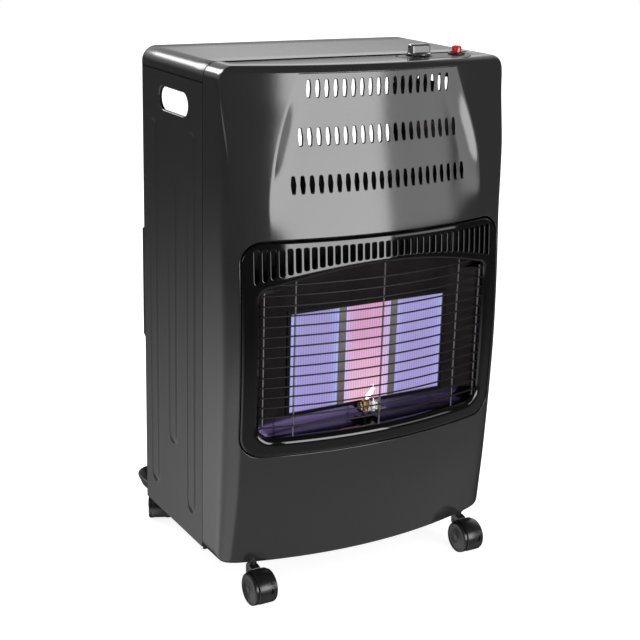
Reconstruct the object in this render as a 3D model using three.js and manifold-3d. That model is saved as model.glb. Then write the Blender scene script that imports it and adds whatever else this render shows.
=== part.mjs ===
// A portable gas cabinet heater: a sheet-metal cabinet on four twin-wheel casters, with a
// bowed front, a slotted scoop, three radiant ceramic plaques behind a wire guard, a push-and-
// turn control knob with a piezo button on the top, and a lift-off rear cover.
// Millimetres, +Z up. While modelling, y = 0 is the joint between the side panels and the
// bowed front, the front faces -Y, x = 0 is the middle and z = 0 is the floor.

import * as THREE from 'three';
import { mergeVertices } from 'three/addons/utils/BufferGeometryUtils.js';
import Module from 'manifold-3d';

const wasm = await Module();
wasm.setup();

// ---- Driving dimensions -------------------------------------------------------------------

const width = 420;            // across the side panels, without their pressed ribs
const height = 700;           // floor to the top face
const sideDepth = 187;        // side panels, from the front joint to the rear edge
const bodyBottom = 50.7;      // floor to the lowest edge of the front
const gap = 0.3;              // between pieces that touch
const seam = 1.2;             // open joint between the outer panels
const flatness = 0.02;        // faces flatter than this are merged
const beyondFront = -0.5 * width;   // in front of everything, where cuts start

// Bowed front, as a side profile: [share of the height, distance].
const frontBow = 600;         // radius of the front in plan
const centreProfile = [
  [0, -94], [0.14, -104], [0.29, -109.5], [0.43, -112], [0.58, -109.5], [0.68, -105],
  [0.76, -101], [0.83, -96.7], [0.937, -84], [0.985, -80.2], [1, -79.5],
];
const cornerProfile = [
  [0, -47], [0.14, -52], [0.38, -58], [0.54, -54], [0.655, -48], [0.76, -45.5], [1, -45],
];
const cornerReach = [[0, 26], [0.655, 26], [0.76, 15], [0.83, 10], [0.937, 7], [1, 7]];

// Sheets and shells
const frontWall = 2.5;
const panelSheet = 1.5;
const coverSheet = 1.2;
const topRadius = 20;         // long edges of the top
const footRadius = 14;        // lower corners of the front
const topSkirt = 25;          // height of the top cover's sides
const frontLip = 14;          // width of the flange under the front
const flangeWidth = 14;       // front and top flanges of a side panel
const rearFlangeWidth = 20;
const tongueReach = 3.9;      // how far the panels' tongues lap behind the front

// Side panels
const ribRise = 1.8;
const ribWidth = 25;
const ribCrown = 15;          // width of a rib's flat top
const ribs = [
  { y: 32.5, low: 90, high: height - 89 },
  { y: 91, low: 170, high: height - 162 },
  { y: 151.5, low: 90, high: height - 89 },
];
const handHole = { y: 88, z: height - 60, length: 88, high: 30, collar: 8 };

// Slotted scoop in the upper front
const scoopDepth = 6;
const scoopEdge = [           // [distance below the top, half width]
  [10, 116], [41, 127.7], [77, 140], [112, 149.6], [155, 156.6], [190, 158.5], [211, 157],
];
const scoopFull = height - 155;   // height down to which the scoop has its full depth
const scoopEnd = height - 218;    // height where its floor meets the front again
const slotRows = [
  { z: height - 28, count: 18 }, { z: height - 85.5, count: 20 }, { z: height - 143, count: 22 },
];
const slotPitch = 12;
const slotWidth = 7.2;
const slotHeight = 22.5;

// Burner surround, window and grille
const sideBorder = 24;        // surround beside the window
const footBorder = 24;        // and below it
const grilleBand = 42.5;      // and above the window's crown
const windowHalf = width / 2 - 40;
const windowLow = 231;
const windowShoulder = 430;   // height of the window's top edge at its sides
const windowArch = 22.5;      // rise of that edge to its crown
const windowCrown = windowShoulder + windowArch;
const windowRadius = 18;
const revealWall = 2;
const surround = {
  half: windowHalf + sideBorder, low: windowLow - footBorder, high: windowCrown + grilleBand,
  radius: 28, skin: 3, groove: 0.9,
};
const grillePitch = 10.3;
const grilleMargin = 18.5;    // plain surround beside the outermost slots
const grille = {
  count: 2 * Math.floor((surround.half - grilleMargin) / grillePitch) + 1, width: 6.6,
  top: surround.high - 15.5, crown: windowCrown + 4.5, drop: windowArch - 2.5,
};

// Burner
const plaqueWidth = 73.2;
const centrePlaqueWidth = 69.8;
const plaqueHeight = 134.2;
const plaqueThickness = 13;
const plaqueLow = windowLow + 21.3;
const plaqueSpacing = 80.8;   // centre to centre
const plaqueFront = -65.5;
const wingClearance = 0.6;    // reflector's side wings, behind the guard's ends
const clampSheet = 1.2;
const plenumRim = 4.2;
const plenumDepth = 26;
const partitionY = -22;
const partitionSheet = 1.5;
const partitionLow = windowLow - 51;
const partitionHigh = surround.high + 65;

// Wire guard
const wireRadius = 1.1;
const guardWires = 15;
const guardLow = windowLow + 15;
const guardHigh = windowShoulder + 4;
const guardCentre = -106;     // middle of the wires in the centre
const guardUprights = [45 - windowHalf, 0, windowHalf - 45];
const guardClearance = 1.2;   // under the window's arch

// Controls on the top
const knob = {
  x: width / 2 - 124.2, y: -28, skirt: 15.5, length: 27, thick: 10.5, high: 15, lift: 0.8,
};
const knobPush = 3.5;
const well = { clearance: 1.5, wall: 1.2, depth: 4.6 };
const spindleRadius = 4;
const igniter = { x: width / 2 - 63, y: -26, radius: 8.5, low: height - 60 };
const buttonRadius = 6.4;
const buttonHigh = 11;
const buttonTravel = 5;
const plateRise = 0.2;         // plate's face above the top
const controlPlate = {
  x: width / 2 - 101, y: -32, length: 105, high: 46, sheet: 1.2, groove: 0.6,
};
const valve = { low: height - 60, high: height - 32, half: 20, front: -46, back: -2 };
const nozzleLength = 38;

// Base tray and rear cover
const trayRear = 250;
const trayWall = 2.5;
const trayHigh = 76;
const trayRadius = 30;
const lugWidth = 11;          // tray's lugs below the joint of the side panels and the front
const lugThick = 3;
const lugDrop = 4;
const coverLow = 78;
const coverHigh = 520;
const coverBulge = 246;       // rearmost face of the cover
const coverRimInset = 4;      // sides of the flat rim, inside the cabinet's
const panInset = 22;          // and of the domed pan
const bandInset = 6.5;        // and of the bands beside it
const bandLow = 288;
const bandHigh = 454;
const coverLift = 14;
const hookHeights = [coverLow + 62, coverHigh - 42];

// Casters
const wheelRadius = 22;
const wheelWidth = 9.5;
const wheelInner = 7.2;       // caster's middle to a wheel's inner face
const casterTrail = 23;
const collarRadius = 6.3;
const bossRadius = 8.5;
const stemTop = 68;
const stemRadius = 4;
const stemBore = 4.5;
const axleRadius = 3;
const hoodInside = 22.8;      // radius of a caster's hood over its wheels
const hoodOutside = 24;
const hoodHalf = 11.8;        // half its width across the wheels
const hoodLow = 8;            // height of its lower edges
const frontCasterX = width / 2 - 43;
const frontCasterInset = 7.76;      // stem's axis behind the front's lowest edge
const frontCasterY = centreProfile[0][1] + frontCasterX ** 2 / (2 * frontBow) + frontCasterInset;
const rearCasterX = width / 2 - 41;
const rearCasterY = trayRear - 18;
const casterPlaces = {
  front_left: { x: -frontCasterX, y: frontCasterY, turn: 0 },
  front_right: { x: frontCasterX, y: frontCasterY, turn: 0 },
  rear_left: { x: -rearCasterX, y: rearCasterY, turn: -25 },
  rear_right: { x: rearCasterX, y: rearCasterY, turn: 18 },
};

// ---- Solids -------------------------------------------------------------------------------

function solid(geometry) {
  const bare = geometry.clone();
  bare.deleteAttribute('normal');
  bare.deleteAttribute('uv');
  const merged = mergeVertices(bare, 1e-4);
  const vertProperties = new Float32Array(merged.attributes.position.array);
  const triVerts = new Uint32Array(merged.index.array);
  return new wasm.Manifold(new wasm.Mesh({ numProp: 3, vertProperties, triVerts }));
}

// The solid's faces, with those that are flat together merged.
function geometryOf(manifold) {
  const mesh = manifold.asOriginal().simplify(flatness).getMesh();
  const geometry = new THREE.BufferGeometry();
  geometry.setAttribute('position', new THREE.BufferAttribute(mesh.vertProperties, 3));
  geometry.setIndex(new THREE.BufferAttribute(mesh.triVerts, 1));
  geometry.computeVertexNormals();
  return geometry;
}

const join = (first, ...others) => others.reduce((sum, other) => sum.add(other), first);
const cut = (first, ...others) => others.reduce((rest, other) => rest.subtract(other), first);

function block(x0, x1, y0, y1, z0, z1) {
  const geometry = new THREE.BoxGeometry(x1 - x0, y1 - y0, z1 - z0);
  geometry.translate((x0 + x1) / 2, (y0 + y1) / 2, (z0 + z1) / 2);
  return solid(geometry);
}

function post(x, y, z0, z1, radius, sides = 16) {
  const geometry = new THREE.CylinderGeometry(radius, radius, z1 - z0, sides);
  geometry.rotateX(Math.PI / 2);
  geometry.translate(x, y, (z0 + z1) / 2);
  return solid(geometry);
}

// A shape drawn in plan, carried up from z0 to z1.
function planPrism(shape, z0, z1, curveSegments = 6) {
  const geometry = new THREE.ExtrudeGeometry(shape, {
    depth: z1 - z0, bevelEnabled: false, curveSegments,
  });
  geometry.translate(0, 0, z0);
  return solid(geometry);
}

// A shape drawn as seen from the front, carried from y0 to y1.
function frontPrism(shape, y0, y1, curveSegments = 6) {
  const geometry = new THREE.ExtrudeGeometry(shape, {
    depth: y1 - y0, bevelEnabled: false, curveSegments,
  });
  geometry.rotateX(Math.PI / 2);
  geometry.translate(0, y1, 0);
  return solid(geometry);
}

// A shape drawn as seen from the side (its x along Y, its y along Z), from x0 to x1.
function sidePrism(shape, x0, x1, curveSegments = 6) {
  const geometry = new THREE.ExtrudeGeometry(shape, {
    depth: x1 - x0, bevelEnabled: false, curveSegments,
  });
  const turn = new THREE.Matrix4().makeBasis(
    new THREE.Vector3(0, 1, 0), new THREE.Vector3(0, 0, 1), new THREE.Vector3(1, 0, 0),
  );
  geometry.applyMatrix4(turn);
  geometry.translate(x0, 0, 0);
  return solid(geometry);
}

// A turned piece: profile points [radius, height] from the axis back to the axis.
function turned(profile, sides) {
  const points = profile.map(([radius, along]) => new THREE.Vector2(radius, along));
  const geometry = new THREE.LatheGeometry(points, sides);
  geometry.rotateX(Math.PI / 2);
  return geometry;
}

// Closed loft through convex rings with equal point counts, first ring to last ring.
function loft(rings) {
  const count = rings[0].length;
  const positions = rings.flat(2);
  const faces = [];
  for (let level = 0; level < rings.length - 1; level += 1) {
    for (let i = 0; i < count; i += 1) {
      const a = level * count + i;
      const b = level * count + ((i + 1) % count);
      faces.push(a, b, b + count, a, b + count, a + count);
    }
  }
  const last = (rings.length - 1) * count;
  for (let i = 1; i < count - 1; i += 1) {
    faces.push(0, i + 1, i, last, last + i, last + i + 1);
  }
  const geometry = new THREE.BufferGeometry();
  geometry.setAttribute('position', new THREE.Float32BufferAttribute(positions, 3));
  geometry.setIndex(faces);
  return solid(geometry);
}

// A round tube through the points of its centre line, with each corner bent at a radius.
function tube(route, radius, bend, sides = 6) {
  const line = bentLine(route.map((point) => new THREE.Vector3(...point)), bend);
  const rings = [];
  let across = new THREE.Vector3(0.36, 0.48, 0.8);
  line.forEach((centre, i) => {
    const along = new THREE.Vector3();
    if (i > 0) along.add(new THREE.Vector3().subVectors(centre, line[i - 1]).normalize());
    if (i < line.length - 1) {
      along.add(new THREE.Vector3().subVectors(line[i + 1], centre).normalize());
    }
    along.normalize();
    across = across.clone().addScaledVector(along, -across.dot(along)).normalize();
    const third = new THREE.Vector3().crossVectors(along, across);
    rings.push(Array.from({ length: sides }, (_, k) => {
      const angle = (2 * Math.PI * k) / sides;
      return centre.clone()
        .addScaledVector(across, radius * Math.cos(angle))
        .addScaledVector(third, radius * Math.sin(angle))
        .toArray();
    }));
  });
  return loft(rings);
}

function bentLine(points, bend) {
  const line = [points[0]];
  for (let i = 1; i < points.length - 1; i += 1) {
    const back = new THREE.Vector3().subVectors(points[i - 1], points[i]);
    const ahead = new THREE.Vector3().subVectors(points[i + 1], points[i]);
    const reach = Math.min(bend, 0.45 * back.length(), 0.45 * ahead.length());
    const from = points[i].clone().add(back.setLength(reach));
    const to = points[i].clone().add(ahead.setLength(reach));
    const arc = new THREE.QuadraticBezierCurve3(from, points[i], to);
    line.push(...arc.getPoints(2));
  }
  line.push(points[points.length - 1]);
  return line;
}

// ---- Outlines -----------------------------------------------------------------------------

function roundedRect(x0, x1, y0, y1, lowRadius, highRadius = lowRadius) {
  const shape = new THREE.Shape();
  shape.moveTo(x0 + lowRadius, y0);
  shape.lineTo(x1 - lowRadius, y0);
  shape.absarc(x1 - lowRadius, y0 + lowRadius, lowRadius, -Math.PI / 2, 0);
  shape.lineTo(x1, y1 - highRadius);
  shape.absarc(x1 - highRadius, y1 - highRadius, highRadius, 0, Math.PI / 2);
  shape.lineTo(x0 + highRadius, y1);
  shape.absarc(x0 + highRadius, y1 - highRadius, highRadius, Math.PI / 2, Math.PI);
  shape.lineTo(x0, y0 + lowRadius);
  shape.absarc(x0 + lowRadius, y0 + lowRadius, lowRadius, Math.PI, 1.5 * Math.PI);
  return shape;
}

// A slot with round ends, lying along its first axis.
function stadium(x, y, length, high) {
  return roundedRect(
    x - length / 2, x + length / 2, y - high / 2, y + high / 2, high / 2 - 0.01,
  );
}

// Smooth value at a place on a profile of [place, value] points.
function profileAt(profile, place) {
  const last = profile.length - 1;
  const clamped = Math.min(Math.max(place, profile[0][0]), profile[last][0]);
  let i = 0;
  while (i < last - 1 && clamped > profile[i + 1][0]) i += 1;
  const slope = (k) => {
    const a = profile[Math.max(k - 1, 0)];
    const b = profile[Math.min(k + 1, last)];
    return (b[1] - a[1]) / (b[0] - a[0]);
  };
  const span = profile[i + 1][0] - profile[i][0];
  const t = (clamped - profile[i][0]) / span;
  const [value, next] = [profile[i][1], profile[i + 1][1]];
  return (2 * t ** 3 - 3 * t ** 2 + 1) * value + (t ** 3 - 2 * t ** 2 + t) * span * slope(i)
    + (3 * t ** 2 - 2 * t ** 3) * next + (t ** 3 - t ** 2) * span * slope(i + 1);
}

const share = (z) => (z - bodyBottom) / (height - bodyBottom);
const bowRise = (x) => (x * x) / (2 * frontBow);
const frontCentre = (z) => profileAt(centreProfile, share(z));
const frontFace = (x, z) => frontCentre(z) + bowRise(x);

// The cabinet in plan at one height: back edge, sides, round corners and bowed front.
// inset moves the sides and the front inwards; frontInset sets the front's own inset.
function planRing(z, inset, backY, frontInset = inset) {
  const half = width / 2 - inset;
  const reach = width / 2 - profileAt(cornerReach, share(z));
  const face = (x) => frontCentre(z) + frontInset + bowRise(x);
  const tangentY = face(reach) + (reach / frontBow) * (half - reach);
  const startY = Math.max(profileAt(cornerProfile, share(z)), tangentY + 0.6);
  const corner = new THREE.QuadraticBezierCurve(
    new THREE.Vector2(half, startY), new THREE.Vector2(half, tangentY),
    new THREE.Vector2(reach, face(reach)),
  );
  const right = [[half, backY], ...corner.getPoints(4).map((p) => [p.x, p.y])];
  const bowSteps = 10;
  const front = [];
  for (let i = 1; i < bowSteps; i += 1) {
    const x = reach - (2 * reach * i) / bowSteps;
    front.push([x, face(x)]);
  }
  const left = right.map(([x, y]) => [-x, y]).reverse();
  return [...right, ...front, ...left].reverse().map(([x, y]) => [x, y, z]);
}

// Heights of the body's rings, set clear of the rows of slots and of the grille.
const formShares = [0, 0.07, 0.17, 0.32, 0.45, 0.575, 0.69, 0.738, 0.825, 0.912, 0.985, 1];

// The cabinet's bowed body as a loft, open-ended by the overlap at its top and bottom.
function bodyForm(inset, backY, frontInset = () => inset) {
  const heights = formShares.map((part) => bodyBottom + part * (height - bodyBottom));
  const overlap = 30;
  const rings = heights.map((z) => planRing(z, inset, backY, frontInset(z)));
  const lowest = rings[0].map(([x, y]) => [x, y, bodyBottom - overlap]);
  const highest = rings[rings.length - 1].map(([x, y]) => [x, y, height + overlap]);
  return loft([lowest, ...rings, highest]);
}

const bodyOutline = (inset) => roundedRect(
  -width / 2 + inset, width / 2 - inset, bodyBottom + inset, height - inset,
  footRadius - inset, topRadius - inset,
);

function scoopOutline(grow) {
  const edge = scoopEdge.map(([below, half], i) => {
    const rise = i === 0 ? grow : 0;
    const fall = i === scoopEdge.length - 1 ? -grow : 0;
    return new THREE.Vector2(half + grow, height - below + rise + fall);
  });
  const shape = new THREE.Shape();
  shape.setFromPoints([
    ...edge, ...edge.map((point) => new THREE.Vector2(-point.x, point.y)).reverse(),
  ]);
  return shape;
}

// How far the scoop's floor lies behind the front at one height.
function scoopFloor(z) {
  const t = Math.min(Math.max((z - scoopEnd) / (scoopFull - scoopEnd), 0), 1);
  return scoopDepth * t * t * (3 - 2 * t);
}

function windowShape(grow) {
  const half = windowHalf + grow;
  const low = windowLow - grow;
  const shoulder = windowShoulder + grow;
  const radius = windowRadius + grow;
  const shape = new THREE.Shape();
  shape.moveTo(-half + radius, low);
  shape.lineTo(half - radius, low);
  shape.absarc(half - radius, low + radius, radius, -Math.PI / 2, 0);
  shape.lineTo(half, shoulder - 8);
  shape.quadraticCurveTo(half, shoulder, half - 10, shoulder + 2.5);
  shape.quadraticCurveTo(0, 2 * (windowCrown + grow) - shoulder - 2.5, -half + 10, shoulder + 2.5);
  shape.quadraticCurveTo(-half, shoulder, -half, shoulder - 8);
  shape.lineTo(-half, low + radius);
  shape.absarc(-half + radius, low + radius, radius, Math.PI, 1.5 * Math.PI);
  return shape;
}

const windowTop = (x) => windowCrown - (windowCrown - windowShoulder) * (x / windowHalf) ** 2;

// ---- Cabinet ------------------------------------------------------------------------------

// An upright slot whose ends are blunt, or drawn to a point on the narrow ones.
function slotShape(x, z, slotW, slotH, blunt = true) {
  const half = slotW / 2;
  const end = slotH / 2;
  const shoulder = end - 0.9 * half;
  const right = [[half, -shoulder], [half, shoulder]];
  const top = blunt ? [[0.45 * half, end], [-0.45 * half, end]] : [[0, end]];
  const upper = [...right, ...top];
  const outline = [...upper, ...upper.map(([dx, dz]) => [-dx, -dz])];
  const shape = new THREE.Shape();
  shape.setFromPoints(outline.map(([dx, dz]) => new THREE.Vector2(x + dx, z + dz)));
  return shape;
}

function makeFront() {
  const back = -seam / 2;
  const outer = bodyForm(0, back).intersect(frontPrism(bodyOutline(0), beyondFront, back));
  const inner = bodyForm(frontWall, 40).intersect(
    frontPrism(bodyOutline(frontWall), beyondFront, 40),
  );
  const scoop = frontPrism(scoopOutline(0), beyondFront, -20)
    .subtract(bodyForm(0, 40, scoopFloor));
  const scoopBack = frontPrism(scoopOutline(frontWall), beyondFront, -20)
    .subtract(bodyForm(0, 40, (z) => scoopFloor(z) + frontWall));
  const shell = cut(outer, scoop).subtract(inner.subtract(scoopBack));
  const lipHole = bodyForm(frontLip, 40).intersect(
    block(-width, width, beyondFront, 60, bodyBottom - 10, bodyBottom + 2 * frontWall),
  );
  const opening = frontPrism(roundedRect(
    -surround.half - surround.groove, surround.half + surround.groove,
    surround.low - surround.groove, surround.high + surround.groove, surround.radius,
  ), beyondFront, -20, 4);
  const slots = slotRows.flatMap(({ z, count }) => Array.from({ length: count }, (_, i) => (
    frontPrism(slotShape((i - (count - 1) / 2) * slotPitch, z, slotWidth, slotHeight),
      beyondFront, -50)
  )));
  const pocket = planPrism(
    stadium(controlPlate.x, controlPlate.y, controlPlate.length + 2 * controlPlate.groove,
      controlPlate.high + 2 * controlPlate.groove),
    height - controlPlate.sheet - gap, height + 10,
  );
  const wellHole = post(knob.x, knob.y, height - 10, height + 10, wellRadius() + gap, 20);
  const igniterHole = post(igniter.x, igniter.y, height - 10, height + 10,
    igniter.radius + gap, 12);
  const notches = Object.values(casterPlaces).filter(({ y }) => y < 0).map(({ x, y }) => (
    post(x, y, bodyBottom - 10, bodyBottom + 10, bossRadius + gap, 12)
  ));
  return cut(shell, lipHole, opening, ...slots, pocket, wellHole, igniterHole, ...notches);
}

// The right-hand side panel; the left one is its mirror image.
function makeSidePanel() {
  const outside = width / 2;
  const inside = outside - panelSheet;
  const low = bodyBottom + 0.9;
  const high = height - topSkirt - seam / 2;
  const front = seam / 2;
  const aboveTray = trayHigh + 4;
  const sheet = block(inside, outside, front, sideDepth, low, high);
  const frontFlange = block(outside - flangeWidth, outside, front, front + panelSheet,
    aboveTray, high);
  const rearFlange = block(outside - rearFlangeWidth, outside, sideDepth - panelSheet,
    sideDepth, aboveTray, high);
  const topFlange = block(outside - flangeWidth, outside, front, sideDepth,
    high - panelSheet, high);
  const tongueOut = outside - frontWall - gap;
  const tongue = block(tongueOut - panelSheet, tongueOut, -tongueReach, front + panelSheet,
    aboveTray, high);
  const hole = stadium(handHole.y, handHole.z, handHole.length, handHole.high);
  const collar = sidePrism(
    stadium(handHole.y, handHole.z, handHole.length + 2 * panelSheet,
      handHole.high + 2 * panelSheet),
    inside - handHole.collar, inside, 4,
  );
  const ribsOut = ribs.map((rib) => pressedRib(rib, outside - 0.4, outside + ribRise, 0));
  const ribsIn = ribs.map((rib) => (
    pressedRib(rib, inside - 0.4, inside + ribRise, -panelSheet / 2)
  ));
  const slots = hookHeights.map((z) => (
    block(outside - 12.8, outside - 9.2, sideDepth - 5, sideDepth + 5,
      z - gap, z + 10 + coverLift + gap)
  ));
  const panel = join(sheet, frontFlange, rearFlange, topFlange, tongue, collar, ...ribsOut);
  return cut(panel, sidePrism(hole, inside - 20, outside + 5, 4), ...ribsIn, ...slots);
}

function pressedRib({ y, low, high }, x0, x1, grow) {
  const outline = (halfWidth, x) => {
    const points = [];
    for (let i = 0; i <= 4; i += 1) {
      const angle = (Math.PI * i) / 4;
      points.push([x, y + halfWidth * Math.cos(angle),
        high - ribWidth / 2 + halfWidth * Math.sin(angle)]);
    }
    for (let i = 0; i <= 4; i += 1) {
      const angle = Math.PI + (Math.PI * i) / 4;
      points.push([x, y + halfWidth * Math.cos(angle),
        low + ribWidth / 2 + halfWidth * Math.sin(angle)]);
    }
    return points;
  };
  return loft([outline(ribWidth / 2 + grow, x0), outline(ribCrown / 2 + grow, x1)]);
}

function mirrored(manifold) {
  const geometry = geometryOf(manifold);
  geometry.scale(-1, 1, 1);
  const index = geometry.index.array;
  for (let i = 0; i < index.length; i += 3) {
    [index[i], index[i + 1]] = [index[i + 1], index[i]];
  }
  return solid(geometry);
}

function makeTopCover() {
  const front = seam / 2;
  const low = height - topSkirt + seam / 2;
  const above = block(-width, width, -10, sideDepth + 10, low, height + 10);
  const outer = frontPrism(bodyOutline(0), front, sideDepth).intersect(above);
  const inner = frontPrism(bodyOutline(panelSheet), front - 10, sideDepth - panelSheet);
  const ledgeLow = height - topSkirt - seam / 2 + gap;
  const ledges = [-1, 1].map((side) => {
    const [a, b] = [side * (width / 2 - flangeWidth), side * (width / 2 - 0.5 * panelSheet)];
    return block(Math.min(a, b), Math.max(a, b), front, sideDepth, ledgeLow, low + panelSheet);
  });
  const half = width / 2 - topRadius;
  const tongueHigh = height - frontWall - gap;
  const tongue = block(-half, half, -tongueReach, front + panelSheet, tongueHigh - panelSheet,
    tongueHigh);
  const riser = block(-half, half, front, front + panelSheet, tongueHigh - 0.5, height - 0.5);
  return join(cut(outer, inner), ...ledges, tongue, riser);
}

function makePartition() {
  const half = width / 2 - frontWall - gap;
  const [y, sheet, low, high] = [partitionY, partitionSheet, partitionLow, partitionHigh];
  const plate = block(-half, half, y, y + sheet, low, high);
  const flange = (side) => block(
    Math.min(side * half, side * (half - sheet)), Math.max(side * half, side * (half - sheet)),
    y - 20, y + sheet, low, high,
  );
  return join(plate, flange(-1), flange(1));
}

// ---- Burner -------------------------------------------------------------------------------

function makeSurround() {
  const { half, low, high, radius, skin } = surround;
  const slab = frontPrism(roundedRect(-half, half, low, high, radius), beyondFront, -40, 4);
  const face = bodyForm(0, 40).subtract(bodyForm(skin, 40)).intersect(slab);
  const revealBack = plaqueFront + gap;
  const reveal = frontPrism(windowShape(revealWall), beyondFront, revealBack)
    .intersect(bodyForm(0.4, 40));
  const slots = Array.from({ length: grille.count }, (_, i) => {
    const x = (i - (grille.count - 1) / 2) * grillePitch;
    const end = (grille.count - 1) / 2 * grillePitch;
    const bottom = grille.crown - grille.drop * (x / end) ** 2;
    const slot = slotShape(x, (grille.top + bottom) / 2, grille.width, grille.top - bottom, false);
    return frontPrism(slot, beyondFront, -50);
  });
  return cut(join(face, reveal), frontPrism(windowShape(0), beyondFront - 10, 0), ...slots);
}

function makeReflector() {
  const { half, low, high } = plenumBox();
  const front = plaqueFront + 2 * gap;
  const back = front + clampSheet;
  const plate = frontPrism(windowShape(revealWall), front, back, 4);
  const wing = (side) => {
    const reach = windowHalf - 2 * gap;
    const guardEnd = windowHalf - wireRadius - gap;
    const tip = guardCentre + bowRise(guardEnd) + 3 * wireRadius - 0.5 + wingClearance;
    const shape = new THREE.Shape();
    shape.setFromPoints([
      [half + 3, front + 0.5], [reach, tip], [reach, front + 0.5],
    ].map(([x, y]) => new THREE.Vector2(side * x, y)));
    return planPrism(shape, windowLow + windowRadius, windowShoulder - 10);
  };
  const opening = block(-half - gap, half + gap, front - 10, back + 10, low - gap, high + gap);
  const pipeHoles = pilotLine.map(({ x, radius }) => {
    const geometry = new THREE.CylinderGeometry(radius + 1, radius + 1, 40, 8);
    geometry.translate(x, front, pilotFeedHeight);
    return solid(geometry);
  });
  return cut(join(plate, wing(-1), wing(1)), opening, ...pipeHoles);
}

function plenumBox() {
  const half = plaqueSpacing + plaqueWidth / 2 + plenumRim + gap;
  return {
    half, low: plaqueLow - plenumRim - gap, high: plaqueLow + plaqueHeight + plenumRim + gap,
  };
}

const plaquePlaces = [
  { name: 'plaque_left', x: -plaqueSpacing, size: plaqueWidth },
  { name: 'plaque_centre', x: 0, size: centrePlaqueWidth },
  { name: 'plaque_right', x: plaqueSpacing, size: plaqueWidth },
];

function makePlaque({ x, size }) {
  const half = size / 2;
  return block(x - half, x + half, plaqueFront, plaqueFront + plaqueThickness, plaqueLow,
    plaqueLow + plaqueHeight);
}

function makePlenum() {
  const { half, low, high } = plenumBox();
  const body = block(-half, half, plaqueFront, plaqueFront + plenumDepth, low, high);
  const pockets = plaquePlaces.map(({ x, size }) => (
    block(x - size / 2 - gap, x + size / 2 + gap, plaqueFront - 5,
      plaqueFront + plaqueThickness + gap, plaqueLow - gap, plaqueLow + plaqueHeight + gap)
  ));
  const feet = [-1, 1].flatMap((side) => [low + 12, high - 12].map((z) => {
    const length = partitionY - gap - (plaqueFront + plenumDepth) + 2;
    const geometry = new THREE.CylinderGeometry(5, 5, length, 6);
    geometry.translate(side * (half - 14), partitionY - gap - length / 2, z);
    return solid(geometry);
  }));
  return cut(join(body, ...feet), ...pockets);
}

function makeClampFrame() {
  const { half, low, high } = plenumBox();
  const back = plaqueFront - gap;
  const plate = block(-half, half, back - clampSheet, back, low, high);
  const lap = 0.4;
  const windows = plaquePlaces.map(({ x, size }) => (
    block(x - size / 2 + lap, x + size / 2 - lap, back - 10, back + 10, plaqueLow + lap,
      plaqueLow + plaqueHeight - lap)
  ));
  return cut(plate, ...windows);
}

function makeGuard() {
  const wireHeights = Array.from({ length: guardWires }, (_, i) => (
    guardLow + ((guardHigh - guardLow) * i) / (guardWires - 1)
  ));
  const faceAt = (x) => guardCentre + bowRise(x);
  const endX = windowHalf - wireRadius - gap;
  const wires = wireHeights.map((z) => {
    const crown = (windowCrown - guardClearance - wireRadius - z)
      / (windowCrown - windowShoulder);
    const reach = Math.min(endX, windowHalf * Math.sqrt(crown));
    const steps = 6;
    const route = Array.from({ length: steps + 1 }, (_, i) => {
      const x = -reach + (2 * reach * i) / steps;
      return [x, faceAt(x), z];
    });
    return loftAlongX(route, wireRadius);
  });
  const behind = 2 * wireRadius - 0.5;
  const uprights = guardUprights.map((x) => (
    post(x, faceAt(x) + behind, windowLow + gap, windowTop(x) - guardClearance, wireRadius, 4)
  ));
  const ends = [-1, 1].map((side) => (
    post(side * endX, faceAt(endX) + behind, windowLow + windowRadius,
      wireHeights[guardWires - 2] + 4, wireRadius, 4)
  ));
  return join(wires[0], ...wires.slice(1), ...uprights, ...ends);
}

// A wire whose centre line runs mainly along X, with four-sided sections square to X.
function loftAlongX(route, radius) {
  const sides = 4;
  return loft(route.map(([x, y, z]) => Array.from({ length: sides }, (_, k) => {
    const angle = (2 * Math.PI * k) / sides;
    return [x, y + radius * Math.cos(angle), z + radius * Math.sin(angle)];
  })));
}

// Pilot group: [burner, spark electrode, thermocouple] standing in one bracket.
const pilotFeedHeight = windowLow + 6.5;
const pilotPlateLow = windowLow + 11;
const pilotY = plaqueFront - 12.5;
const valveOutletY = valve.front + 8;
const plenumSide = plenumBox().half;
const pilotFeeds = {            // where each line runs down beside the plenum
  pilot_pipe: { column: plenumSide + 10.1, depth: -36 },
  ignition_lead: { column: plenumSide + 24.1, depth: -42 },
  thermocouple_lead: { column: plenumSide + 17.1, depth: -48 },
};
const pilotLine = [
  { name: 'pilot_burner', x: -7, radius: 2 },
  { name: 'spark_electrode', x: 5, radius: 1.5 },
  { name: 'thermocouple', x: 15, radius: 1.5 },
];

function makePilotBracket() {
  const rear = plaqueFront - gap - clampSheet - gap;
  const plate = block(-14, 22, pilotY - 6, rear, pilotPlateLow, pilotPlateLow + 1.2);
  const tab = block(-14, 22, rear - 1.2, rear, pilotPlateLow, pilotPlateLow + 9);
  const holes = pilotLine.map(({ x }, i) => (
    post(x, pilotY, pilotPlateLow - 5, pilotPlateLow + 5, [4.4, 2.9, 2.9][i], 8)
  ));
  return cut(join(plate, tab), ...holes);
}

function makePilotBurner() {
  const low = pilotFeedHeight + 2 + gap;
  const profile = [[0, 0], [3.2, 0], [4, 1.5], [4, 9], [5.5, 9], [5.5, 16], [3.5, 18.5], [0, 18.5]];
  const geometry = turned(profile, 12);
  geometry.translate(pilotLine[0].x, pilotY, low);
  return cut(solid(geometry), block(
    pilotLine[0].x + 0.5, pilotLine[0].x + 8, pilotY - 3, pilotY + 3, low + 12, low + 15.5,
  ));
}

function makeRod(index, tip) {
  const low = pilotFeedHeight + pilotLine[index].radius + gap;
  const profile = [[0, 0], [2.5, 0], [2.5, 12], ...tip, [0, tip[tip.length - 1][1]]];
  const geometry = turned(profile, 10);
  geometry.translate(pilotLine[index].x, pilotY, low);
  return solid(geometry);
}

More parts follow.
